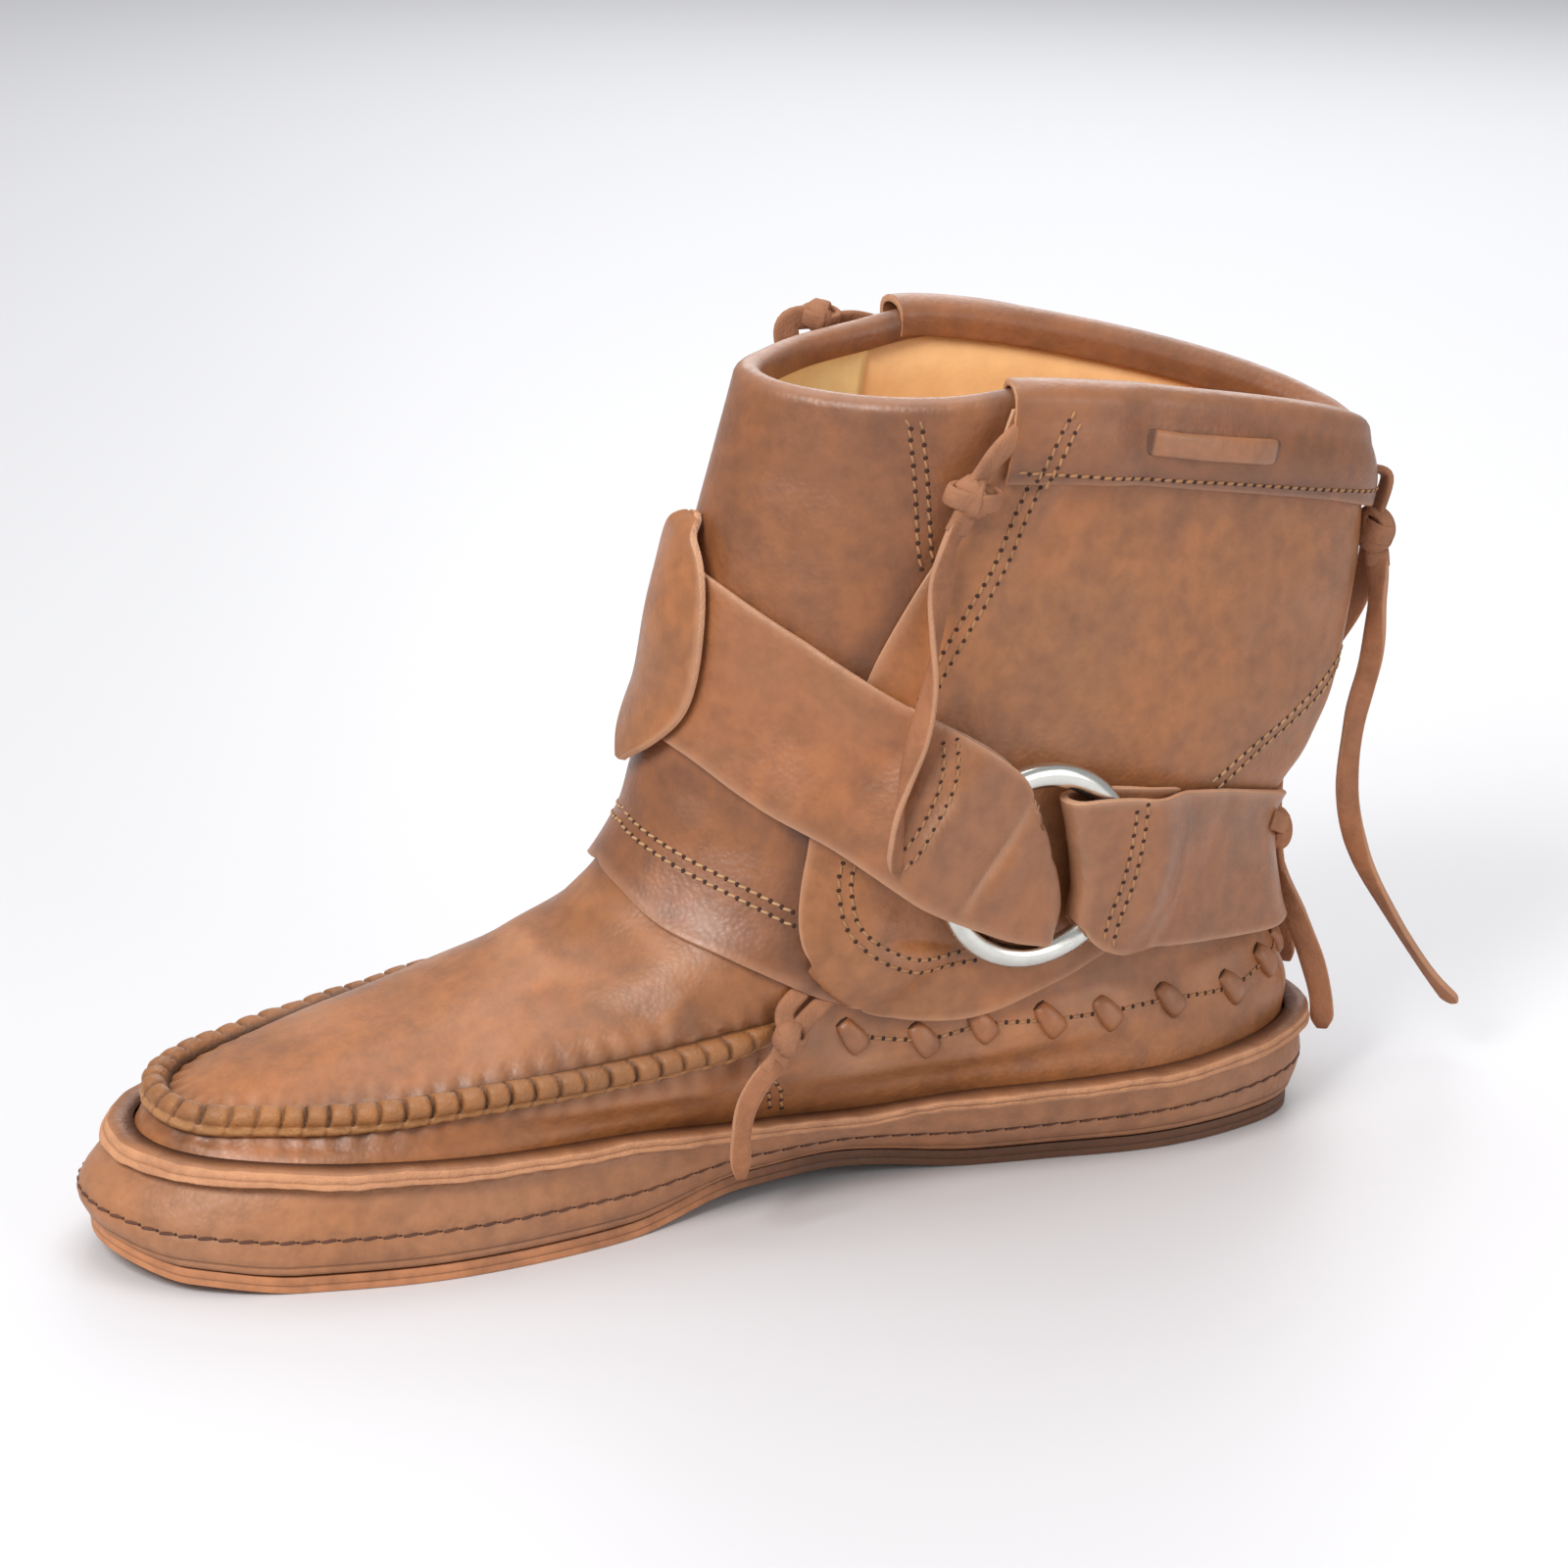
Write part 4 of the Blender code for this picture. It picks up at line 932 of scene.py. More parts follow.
waist_rows = [0.3 * np.ones(count) + 0.6 * waist_dark] * len(sole_rows)
for row, (share, _) in enumerate(OUTSOLE_PROFILE):
    waist_rows[row] = waist_dark + (0.5 if share in SHADED_SHARES else 0.0)
paint(sole_mesh, 0.0, np.concatenate(waist_rows))
sole_mesh.set_sharp_from_angle(angle=math.radians(50))
stands_for(outsole, "sole_leather", "outsole")
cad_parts["insole"].data.materials[0] = LINING
print("rand, rim and outsole points:", sum(len(o.data.vertices) for o in (rand, rim, outsole)))

# %% [markdown]
# ## Front panel, quarter and cuff
#
# The shaft is two pieces. The front panel rolls over at the top like a piping. The quarter wraps the
# heel, laps over the panel on both sides and ends in a rounded ear below the ring. Its top is folded
# into a channel, the cuff, which carries a lace.

# %% Edges of the quarter and the panel
PAST_EDGE = 0.004
PANEL_EDGE = (6.20, 7.40, 8.25, 8.80, 9.25, 9.45)
QUARTER_FRONT = (
    (0.284, 7.15), (0.322, 8.35), (0.348, 9.50), (0.358, 10.55), (0.357, 11.70),
    (0.350, 12.80), (0.337, 13.80), (0.323, 14.60), (0.312, 15.35), (0.306, 16.00))
QUARTER_FOOT = (
    (0.284, 7.15), (0.244, 5.72), (0.215, 5.00), (0.195, 4.88), (0.174, 5.40), (0.145, 6.20),
    (0.075, 6.40), (0.0, 6.40))


def edge_at(level):
    return eased(np.array([row[0] for row in QUARTER_FRONT]), [row[1] for row in QUARTER_FRONT], level)


def panel_side(level):
    return edge_at(level) - PANEL_UNDER


def from_back(around):
    return np.minimum(around, 1 - around)


BAND_LIFT, BAND_FOOT, BAND_DEPTH = 0.0009, 7.3, 0.9


def over_panel(around, level):
    """1 where the panel lies below, 0 where it doesn't, with a ramp between."""
    return soft(ramp(from_back(around), panel_side(level) - PANEL_RAMP, PANEL_RAMP * 0.8))


def quarter_out(around, level):
    over_band = BAND_LIFT * hump(level, BAND_FOOT, BAND_DEPTH)
    return SEAT + (LAYER + over_band) * over_panel(around, level)


def strap_out(around, level):
    """How far a strap lies out: over the quarter, and past its edge on the panel."""
    past_edge = ramp(from_back(around), edge_at(level) + PAST_EDGE, PANEL_RAMP)
    return SEAT + LAYER + LAYER * over_panel(around, level) * (1 - past_edge)


def near_edges(shape, sides, width_rows, width_columns):
    """1 at the chosen edges of a grid, falling off over some rows or columns."""
    rows = np.arange(shape[0])[:, None] * np.ones(shape[1])
    columns = np.arange(shape[1])[None, :] * np.ones(shape[0])[:, None]
    gaps = {"foot": rows / width_rows, "top": (shape[0] - 1 - rows) / width_rows,
            "left": columns / width_columns, "right": (shape[1] - 1 - columns) / width_columns}
    return np.max([hump(gaps[side], 0.0, 1.0) for side in sides], axis=0)


print("quarter's front edge from", QUARTER_FRONT[0], "to", QUARTER_FRONT[-1])

# %% Front panel
ROLL_RADIUS, ROLL_INSIDE, ROLL_HIGHLIGHT_ROW = 0.0015, 0.0030, 93
turn, rise = np.meshgrid(steps(-1.0, 1.0, 181), steps(0.0, 1.0, 90))
side = panel_side(mix(PANEL_EDGE[0], COLLAR_LEVEL, rise))
panel_around = mix(0.5, side, np.abs(turn))
panel_level = mix(smooth(PANEL_EDGE, (1 - np.abs(turn)) * (len(PANEL_EDGE) - 1)), COLLAR_LEVEL, rise)
panel_around = np.where(turn < 0, panel_around, 1 - panel_around)
panel = surface(panel_around, panel_level, np.full(turn.shape, SEAT))
panel_normal = last_normal(panel_around, panel_level)
PANEL_CREASES = (
    (((0.40, 10.9), (0.45, 11.0), (0.50, 11.05)), 1, 0.0050, 0.0006),
    (((0.36, 12.6), (0.42, 13.2), (0.47, 13.3)), 1, 0.0060, 0.0004),
    (((0.37, 14.9), (0.42, 15.1), (0.48, 15.0)), 1, 0.0040, 0.0003),
)
panel_relief = 0.00025 * ripple(panel, 70.0, 1.0) + creases(panel, PANEL_CREASES)
panel = panel + (panel_relief * within(rise, 8))[..., None] * panel_normal
roll_rows = []
flat = unit(panel_normal[-1] * (1.0, 1.0, 0.0))
top_edge = last(panel_around[-1], panel_level[-1])
for angle in steps(20.0, 180.0, 9):
    bend = math.radians(angle)
    reach = SEAT - ROLL_RADIUS + ROLL_RADIUS * math.cos(bend)
    row = top_edge + reach * flat
    row[:, 2] = top_edge[:, 2] + ROLL_RADIUS * math.sin(bend)
    roll_rows.append(row)
inside = roll_rows[-1].copy()
inside[:, 2] -= ROLL_INSIDE
panel_points = np.concatenate([panel, np.stack(roll_rows + [inside])])
# Worn pale along the panel's foot, and a painted highlight along the top of the roll.
panel_wear_and_highlight = 0.45 * near_edges(panel_points.shape[:2], ("foot",), 1.2, 1)
panel_wear_and_highlight += 0.35 * hump(np.arange(len(panel_points)), ROLL_HIGHLIGHT_ROW, 3.0)[:, None]
rolled = len(panel_points) - len(panel)
edge_gap = from_back(np.concatenate([panel_around, np.repeat(panel_around[-1:], rolled, 0)]))
edge_level = np.concatenate([panel_level, np.repeat(panel_level[-1:], rolled, 0)])
# Painted shadow on the panel beside the quarter's front edge.
quarter_edge_shadow = 0.45 * hump(edge_gap, edge_at(edge_level) + PAST_EDGE, 2 * PAST_EDGE)
front_panel = hide(
    "front_panel_leather", panel_points, LEATHER, DEEP_TAN, pale=panel_wear_and_highlight, dark=quarter_edge_shadow)
stands_for(front_panel, "tan_leather", "front_panel")
print("panel:", panel_points.shape)

# %% [markdown]
# ## Quarter
#
# The quarter is a patch with four curved sides: foot, collar and two front edges. Each place on
# it is mixed from those edges, which keeps the rows even, and it lifts where the panel lies below.

# %% Quarter
def quarter_place(turn, rise):
    """Place on the quarter: turn from its lateral edge (-1) to its medial one, rise from its foot up."""
    from_edge = 1 - np.abs(turn)
    place = []
    for index, collar in enumerate((0.0, COLLAR_LEVEL)):
        front = table_line(QUARTER_FRONT, rise, index)
        back = mix(QUARTER_FOOT[-1][index], collar, rise)
        straight = mix(QUARTER_FOOT[0][index], QUARTER_FOOT[-1][index], from_edge)
        bow = table_line(QUARTER_FOOT, from_edge, index) - straight
        place.append(mix(front, back, from_edge) + (1 - rise) * bow)
    return np.where(turn > 0, place[0], -place[0]) % 1.0, np.minimum(place[1], COLLAR_LEVEL)


turn, rise = np.meshgrid(steps(-1.0, 1.0, 281), steps(0.0, 1.0, 96))
quarter_around, quarter_level = quarter_place(turn, rise)
quarter = surface(quarter_around, quarter_level, quarter_out(quarter_around, quarter_level))
quarter_normal = last_normal(quarter_around, quarter_level)
QUARTER_CREASES = (
    (((0.245, 11.3), (0.21, 11.05), (0.165, 10.9)), 1, 0.0030, 0.00035),
    (((0.235, 11.8), (0.20, 11.5), (0.15, 11.4)), 1, 0.0026, 0.00022),
    (((0.30, 11.9), (0.26, 12.4), (0.22, 12.6)), 1, 0.0060, 0.00045),
    (((0.17, 13.1), (0.11, 13.0), (0.05, 13.2)), 1, 0.0070, 0.00050),
    (((0.13, 11.0), (0.07, 11.4), (0.02, 11.6)), 1, 0.0040, 0.00050),
    (((0.13, 11.0), (0.07, 11.4), (0.02, 11.6)), -1, 0.0040, 0.00050),
    (((0.30, 11.9), (0.25, 12.3), (0.20, 12.5)), -1, 0.0060, 0.00050),
    (((0.30, 8.0), (0.275, 7.2), (0.24, 6.6)), 1, 0.0060, -0.00050),
)
relief = 0.0003 * ripple(quarter, 55.0, 4.0) + creases(quarter, QUARTER_CREASES)
inner = ramp(1 - np.abs(turn), 0.0, 1 / 12) * within(rise, 10)
quarter_points = quarter + (relief * inner)[..., None] * quarter_normal
quarter_pale = 0.5 * near_edges(quarter.shape[:2], ("left", "right", "foot"), 1.0, 1.2)
quarter_leather = hide("quarter_leather", quarter_points, LEATHER, TAN, pale=quarter_pale, dark=0.0)
stands_for(quarter_leather, "tan_leather", "quarter")
print("quarter:", quarter_points.shape)

# %% [markdown]
# ## Cuff
#
# The quarter's top is folded outwards and stitched down, so that a lace can run inside. It could
# be a bevelled band, but rows of points that go up, round the fold and a little way down inside
# let it swell softly between the fold and the seam.

# %% Cuff
def cuff_top(around):
    share = from_back(around) / QUARTER_FRONT[-1][0]
    return last(around, COLLAR_LEVEL)[..., 2] + CUFF_FOLD + CUFF_FLARE * np.maximum(share, 0.0) ** 4


def cuff_out(around):
    ahead = 0.5 - np.abs(np.abs(around - 0.5) - PANEL_RAMP * 0.7)
    return quarter_out(ahead, COLLAR_LEVEL) + LAYER


def collar_point(around, height, out):
    """Points beside the collar, also above its edge."""
    lower = np.minimum(height, last(around, COLLAR_LEVEL)[..., 2])
    points = side_point(around, lower, out)
    points[..., 2] = height
    return points


CUFF_ROUND = 0.0022
CUFF_HIGHLIGHT_ROW, CUFF_SEAM_ROW = 21, 2
cuff_around = (steps(-1.0, 1.0, 201) * QUARTER_FRONT[-1][0]) % 1.0
top = cuff_top(cuff_around)
fold_from = top - LEATHER - CUFF_ROUND
outside, lining_side = cuff_out(cuff_around), -UPPER_THICK - SEAT
cuff_rows = []
for share in steps(0.0, 1.0, 18):
    height = mix(top - CUFF_DEPTH, fold_from, share)
    swell = 0.0009 * math.sin(math.pi * min(share * 1.25, 1.0))
    wave = 0.00035 * math.sin(math.pi * share) * ripple(last(cuff_around, 15.0), 90.0, 6.0 + share)
    cuff_rows.append(collar_point(cuff_around, height, outside + swell + wave))
for angle in steps(12.0, 168.0, 9):
    bend = math.radians(angle)
    reach = (outside + lining_side) / 2 + (outside - lining_side) / 2 * math.cos(bend)
    cuff_rows.append(collar_point(cuff_around, fold_from + CUFF_ROUND * math.sin(bend), reach))
for share in steps(0.0, 1.0, 5):
    height = mix(fold_from, top - CUFF_INSIDE, share)
    cuff_rows.append(collar_point(cuff_around, height, np.full_like(outside, lining_side)))
cuff_points = np.stack(cuff_rows)
row = np.arange(len(cuff_rows))
# Painted highlight over the fold, worn pale along the lower edge, painted shade along the seam's line.
cuff_highlight_and_wear = 0.25 * hump(row, CUFF_HIGHLIGHT_ROW, 4.0)[:, None]
cuff_highlight_and_wear = cuff_highlight_and_wear + 0.4 * near_edges(cuff_points.shape[:2], ("foot",), 0.8, 1)
cuff_seam_shade = np.repeat(0.25 * hump(row, CUFF_SEAM_ROW, 1.5), len(cuff_around))
cuff = hide(
    "cuff_leather", cuff_points, LEATHER, DEEP_TAN, pale=cuff_highlight_and_wear, dark=cuff_seam_shade, round_edge=0.0003)
stands_for(cuff, "tan_leather", "cuff")
print("cuff:", cuff_points.shape)

# %% [markdown]
# ## Rings and straps
#
# A nickel ring lies on each side of the ankle. Three straps meet there: one from ring to ring over
# the front, and one from each ring to the back of the heel. A strap goes through its ring, turns
# back under itself and is stitched.

# %% Rings
SIDES = ((1, "medial"), (-1, "lateral"))
RING_BREADTH = 1.18
RING_HALVINGS = 30


def place_at(along, height, side):
    """Around and level of a point seen from the side, by halving the interval of levels."""
    low, high = 0.0, float(COLLAR_LEVEL)
    for _ in range(RING_HALVINGS):
        level = (low + high) / 2
        back, front = [SOLE_LENGTH * smooth(RINGS[end], level) for end in ("back", "front")]
        forward = min(max((along - back) / (front - back), 0.0), 1.0)
        around = on_side(math.acos(1 - 2 * forward) / (2 * math.pi), side)
        if last(around, level)[..., 2] < height:
            low = level
        else:
            high = level
    return around, level


def ring_frame(side):
    around, level = place_at(RING_ALONG, height_of(RING_HEIGHT), side)
    return surface(around, level, RING_OUT), last_normal(around, level)


def turns_of(count):
    """Angles at even steps round a circle."""
    return steps(0.0, 2 * np.pi, count + 1)[:-1]


def torus(centre, normal, radius, wire):
    """Rows of points round a ring whose wire is a little broader than it is thick."""
    across = unit(np.cross(normal, (0.0, 0.0, 1.0)))
    upward = np.cross(normal, across)
    turn, spin = np.meshgrid(turns_of(120), turns_of(20), indexing="ij")
    spoke = np.cos(turn)[..., None] * across + np.sin(turn)[..., None] * upward
    points = centre + (radius + RING_BREADTH * wire * np.cos(spin))[..., None] * spoke
    return points + (wire * np.sin(spin))[..., None] * normal


for side, name in SIDES:
    points = torus(*ring_frame(side), (RING_OUTER - RING_WIRE) / 2, RING_WIRE / 2)
    stands_for(ring_mesh("harness_ring_" + name, points, NICKEL), "nickel", "ring_" + name)
print("middle of the medial ring:", np.round(ring_frame(1)[0], 4))

# %% [markdown]
# ## Strap surfaces
#
# A strap is a strip between an upper and a lower line, both drawn on the last. Near its ring it
# leaves the last and lies level with the ring, and a soft ramp joins the two. So one function
# gives every point of every strap, and the stitches can ask it for their places as well.

# %% Strap surfaces
FRONT_STRAP_ROWS = (
    (0.2675, 1.122, 0.2150, 0.732),
    (0.277, 1.190, 0.236, 0.760),
    (0.295, 1.252, 0.266, 0.824),
    (0.323, 1.325, 0.300, 0.890),
    (0.350, 1.392, 0.335, 1.010),
    (0.391, 1.482, 0.385, 1.100),
    (0.445, 1.560, 0.440, 1.185),
    (0.500, 1.600, 0.500, 1.225),
)
HEEL_STRAP_ROWS = (
    (0.241, 1.108, 0.193, 0.735),
    (0.226, 1.104, 0.180, 0.680),
    (0.206, 1.088, 0.160, 0.640),
    (0.176, 1.053, 0.135, 0.605),
    (0.138, 1.015, 0.104, 0.565),
    (0.095, 0.970, 0.070, 0.530),
    (0.055, 0.935, 0.045, 0.508),
    (0.028, 0.920, 0.026, 0.500),
)
ACROSS = steps(0.0, 1.0, 33)
LAYER_ENDS = 0.15
INNER_ROWS, BEND_ROWS, OUTER_ROWS = 12, 9, 90


def strap_layer(rows, share, across, side, height, rise):
    """Points of a strap layer: level with the ring near it, and rise above the boot elsewhere."""
    share, across = np.broadcast_arrays(np.asarray(share, float), np.asarray(across, float))
    top_around, top_height, low_around, low_height = [table_line(rows, share, index) for index in range(4)]
    around = on_side(mix(low_around, top_around, across) % 1.0, side)
    level = level_at(around, height_of(mix(low_height, top_height, across)))
    centre, normal = ring_frame(side)
    seated = surface(around, level, strap_out(around, level) + rise)
    bare = last(around, level)
    offset = bare - centre
    through_plane = offset @ normal
    gap = np.linalg.norm(offset - through_plane[..., None] * normal, axis=-1)
    with_ring = bare + (height - through_plane)[..., None] * normal
    free = soft(ramp(gap, RING_OUTER / 2 + LOOP_SEATED, LOOP_FREED))
    return mix(with_ring, seated, free[..., None])


def outer_layer(rows, share, across, side, inner_end, extra=0.0):
    """Points of a strap's outer layer, which comes down to the boot past the end of the inner one."""
    inner_rise = STRAP_THICK / 2
    outer_rise = inner_rise + STRAP_THICK + SEAT
    rise = mix(outer_rise, inner_rise, ramp(np.asarray(share), inner_end, LAYER_ENDS)) + extra
    return strap_layer(rows, share, across, side, LOOP_HEIGHT + extra, rise)


def loop_rows(rows, side, inner_end):
    """Rows of a strap from the end of its inner layer, through the ring, to its far end."""
    normal = ring_frame(side)[1]
    made = [strap_layer(rows, share, ACROSS, side, -LOOP_HEIGHT, STRAP_THICK / 2)
            for share in steps(inner_end, 0.0, INNER_ROWS)]
    start = strap_layer(rows, 0.0, ACROSS, side, 0.0, 0.0)
    ahead = strap_layer(rows, 0.08, ACROSS, side, 0.0, 0.0)
    forward = unit(ahead - start)
    for angle in steps(-80.0, 80.0, BEND_ROWS):
        bend = math.radians(angle)
        made.append(start + LOOP_HEIGHT * (normal * math.sin(bend) - forward * math.cos(bend)))
    made += [outer_layer(rows, share, ACROSS, side, inner_end) for share in steps(0.0, 1.0, OUTER_ROWS)]
    return np.stack(made)


def grid_normal(points):
    down, right = np.gradient(points, axis=0), np.gradient(points, axis=1)
    return unit(np.cross(down, right))


def evened(points, normal, first, last_row, passes=80):
    """Takes bulges out of a strap's rows in the plane of its ring, and leaves their height over it."""
    heights = points @ normal
    plane = points - heights[..., None] * normal
    part = plane[first:last_row]
    for _ in range(passes):
        part[1:-1] = (part[:-2] + 2 * part[1:-1] + part[2:]) / 4
    return plane + heights[..., None] * normal


def strap_paint(count, loop):
    """Pale tones of wear along the strap's edges, and a painted highlight round its fold."""
    shape = (count, len(ACROSS))
    pale = 0.45 * near_edges(shape, ("left", "right"), 1, 0.9)
    for row in loop:
        pale = np.maximum(pale, 0.35 * hump(np.arange(count), row, 3.0)[:, None])
    return pale


print("strap table rows:", len(FRONT_STRAP_ROWS), len(HEEL_STRAP_ROWS))

# %% [markdown]
# ## Front strap
#
# The front strap is pinched where it goes into the ring. The folds could be sculpted, but a ridge
# or a trough along a short line does the same, and it can be repeated on the other side.

# %% Front strap with the folds beside its ring
FRONT_INNER, HEEL_INNER = 0.46, 0.42
OUTER_START, EVENED_ROWS, FOLD_ROW = INNER_ROWS + BEND_ROWS, 60, 16
RIDGE_HIGHLIGHT_LEAST = 0.0008
halves = []
for side, _ in SIDES:
    rows = loop_rows(FRONT_STRAP_ROWS, side, FRONT_INNER)
    halves.append(evened(rows, ring_frame(side)[1], OUTER_START, OUTER_START + EVENED_ROWS))
front_points = np.concatenate([halves[0], halves[1][-2::-1]])
normals = grid_normal(front_points)
if normals[len(halves[0]) - 1, len(ACROSS) // 2] @ ring_frame(1)[1] < 0:
    normals = -normals
STRAP_FOLDS = (
    ((0.34, 0.02), (0.27, 0.45), (0.10, 0.98), 0.0016, 0.0012),
    ((0.30, 0.04), (0.22, 0.42), (0.03, 0.90), 0.0032, -0.0012),
    ((0.49, 0.28), (0.45, 0.50), (0.40, 0.72), 0.0014, 0.0009),
    ((0.22, 0.30), (0.14, 0.65), (0.06, 0.95), 0.0030, 0.0007),
    ((0.62, 0.20), (0.70, 0.50), (0.76, 0.85), 0.0060, 0.0006),
)
pale = strap_paint(len(front_points), (FOLD_ROW, len(front_points) - 1 - FOLD_ROW))
for side, _ in SIDES:
    for *places, width, height in STRAP_FOLDS:
        share, across = [table_line(places, steps(0.0, 1.0, 12), index) for index in range(2)]
        line = outer_layer(FRONT_STRAP_ROWS, share, across, side, FRONT_INNER)
        gap, along, length = distance_to(front_points, line)
        fade = np.sin(np.pi * np.clip(along / length, 0.05, 0.95))
        front_points = front_points + (height * fade * hump(gap, 0.0, width))[..., None] * normals
        # Folds that stand up get a painted highlight along their ridges.
        if height > RIDGE_HIGHLIGHT_LEAST:
            pale = np.maximum(pale, 0.6 * fade * hump(gap, 0.0, 0.7 * width))
front_strap = hide("front_strap_leather", front_points, STRAP_THICK, STRAP_TAN, offset=0.0, pale=pale)
stands_for(front_strap, "tan_leather", "front_strap")
print("front strap:", front_points.shape)

# %% Heel straps
heel_straps = []
for side, name in SIDES:
    points = loop_rows(HEEL_STRAP_ROWS, side, HEEL_INNER)
    points = evened(points, ring_frame(side)[1], OUTER_START, len(points))
    bulge = 0.0004 * ripple(points, 80.0, 2.0)
    points = points + bulge[..., None] * unit(points * (1.0, 1.0, 0.0) - np.array((0.0, 0.07, 0.0)))
    strap = hide("heel_strap_leather_" + name, points, STRAP_THICK, STRAP_TAN, offset=0.0,
                 pale=strap_paint(len(points), (FOLD_ROW,)))
    heel_straps.append(stands_for(strap, "tan_leather", "heel_strap_" + name))
print("heel straps:", points.shape)

# %% [markdown]
# ## Keeper
#
# A small leather tab on the front is sewn down below and holds the strap. Its outline is a table
# of half-widths by height, and it rises over the strap and comes down again above it.

# %% Keeper on the front
KEEPER_ROWS = (
    (0.004, 1.690), (0.022, 1.655), (0.040, 1.595), (0.052, 1.500), (0.056, 1.390), (0.050, 1.270),
    (0.032, 1.190), (0.004, 1.130))
rise, turn = np.meshgrid(steps(0.0, 1.0, 70), steps(-1.0, 1.0, 41), indexing="ij")
spread_out = table_line(KEEPER_ROWS, 1 - rise, 0)
around = 0.5 + spread_out * turn
level = level_at(around, height_of(table_line(KEEPER_ROWS, 1 - rise, 1)))
lift_off = 0.0012 * np.abs(turn) ** 3 * np.sin(np.pi * rise)
over_strap = soft(ramp(0.96 - rise, 0.0, 0.14)) * (STRAP_THICK + SEAT)
keeper_points = surface(around, level, strap_out(around, level) + over_strap + lift_off)
keeper = hide("keeper_leather", keeper_points, LEATHER, TAN,
              pale=0.5 * near_edges(keeper_points.shape[:2], ("left", "right"), 1, 1.5))
stands_for(keeper, "tan_leather", "keeper")
print("keeper:", keeper_points.shape)

# %% [markdown]
# ## Thongs, knots and the puckered seam
#
# A thong is a flat strip cut from the same hide. It hangs by its own weight and turns edge-on now
# and then, so it is swept along its route with a twist. A knot is the same strip wound about itself.
# The seam round the plug is a row of gathered lumps, closed over by a cord.


# %% Sweeps
def face_out(mesh):
    """Turns the faces of closed shells outwards."""
    work = bmesh.new()
    work.from_mesh(mesh)
    bmesh.ops.recalc_face_normals(work, faces=work.faces)
    work.to_mesh(mesh)
    work.free()


def sweep_parts(sections, first=0, closed=False):
    """Points and faces of a solid through sections, each a loop of points."""
    rows, count = sections.shape[:2]
    index = first + np.arange(rows * count).reshape(rows, count)
    if closed:
        index = np.concatenate([index, index[:1]])
    beside = np.roll(index, -1, axis=1)
    faces = np.stack([index[:-1], index[1:], beside[1:], beside[:-1]], -1).reshape(-1, 4).tolist()
    if not closed:
        faces += [index[0].tolist(), index[-1][::-1].tolist()]
    return sections.reshape(-1, 3), faces


def solid(name, parts, *finishes):
    """One object from several swept solids: a list of (sections, closed)."""
    points, faces, first = [], [], 0
    for sections, closed in parts:
        made, sides = sweep_parts(sections, first, closed)
        points.append(made)
        faces += sides
        first += len(made)
    mesh = mesh_of(name, np.concatenate(points), faces)
    face_out(mesh)
    return new_object(name, mesh, *finishes)


# %% [markdown]
# ## Puckered seam
#
# Where the wall is gathered to the plug, the leather stands up in small lumps under a cord. One
# profile is swept along the seam, and its height rises and falls once for each stitch, with a
# narrow slit between lumps. A little drift in the pitch keeps them from looking machine made.

# %% Puckered seam
SECTIONS_A_PUCKER = 12
PUCKER_DRIFT = 0.0009
FOOT, LUMPS, CORD = 0, 1, 2
SEAM_PROFILE = (
    (-0.46, -0.12, FOOT), (-0.52, 0.20, FOOT), (-0.51, 0.50, LUMPS), (-0.44, 0.78, LUMPS),
    (-0.28, 0.95, LUMPS), (-0.06, 1.00, LUMPS), (0.14, 0.96, LUMPS), (0.28, 0.84, LUMPS),
    (0.36, 0.68, LUMPS), (0.40, 0.54, CORD), (0.52, 0.48, CORD), (0.60, 0.34, CORD),
    (0.60, 0.16, CORD), (0.50, 0.02, FOOT), (0.44, -0.12, FOOT))
walked = steps(0.0, seam_walked[-1], pucker_count * SECTIONS_A_PUCKER + 1)
seam_share = np.interp(walked, seam_walked, steps(0.0, 1.0, SEAM_STEPS))
around, level = seam_place(seam_share)
ridge_foot, ridge_up = last(around, level), last_normal(around, level)
ridge_ahead = unit(np.gradient(ridge_foot, axis=0))
ridge_out = unit(np.cross(ridge_up, ridge_ahead))
from_end = np.minimum(walked, walked[-1] - walked)
taper = 0.25 + 0.75 * ramp(from_end, 0.0, 0.012)
depth = np.clip(0.75 + 0.45 * ripple(ridge_foot, 210.0, 9.0), 0.3, 1.0)
drift = PUCKER_DRIFT * ripple(ridge_foot, 130.0, 6.0)
sections, ridge_painted_shade, cord_tone_and_ridge_highlight = [], [], []
for x, y, zone in SEAM_PROFILE:
    phase = ((walked + drift) / PUCKER_PITCH + 0.45 * y) % 1.0
    slit = depth * hump(np.minimum(phase, 1 - phase), 0.0, 0.075)
    lump = np.sqrt(np.sin(np.pi * phase))
    uneven = 0.06 * ripple(ridge_foot, 320.0, 2.0 + y)
    if zone == LUMPS:
        shrink = 0.92 - 0.36 * slit + 0.14 * lump + 1.6 * uneven
    elif zone == CORD:
        bead = np.abs(np.sin(np.pi * ((walked - 1.5 * drift) / PUCKER_PITCH + 0.5)))
        shrink = 0.74 + 0.36 * bead + 1.6 * uneven
    else:
        shrink = np.ones_like(walked)
    height = SEAM_HEIGHT * y * (1.08 * shrink * taper if y > 0 else np.ones_like(walked))
    sideways = SEAM_WIDTH * x * (0.8 + 0.2 * shrink) * (0.5 + 0.5 * taper)
    sections.append(ridge_foot + height[:, None] * ridge_up + sideways[:, None] * ridge_out)
    # Painted shade at the ridge's foot and in the slits between lumps; a paler cord, and a painted highlight
    # that grows towards the lumps' tops.
    ridge_painted_shade.append((0.75 if zone == FOOT else 0.0) + (0.9 if zone == LUMPS else 0.15) * slit)
    cord_tone_and_ridge_highlight.append((1 - slit) * (0.55 if zone == CORD else 0.16 * y))
sections = np.stack(sections, axis=1)
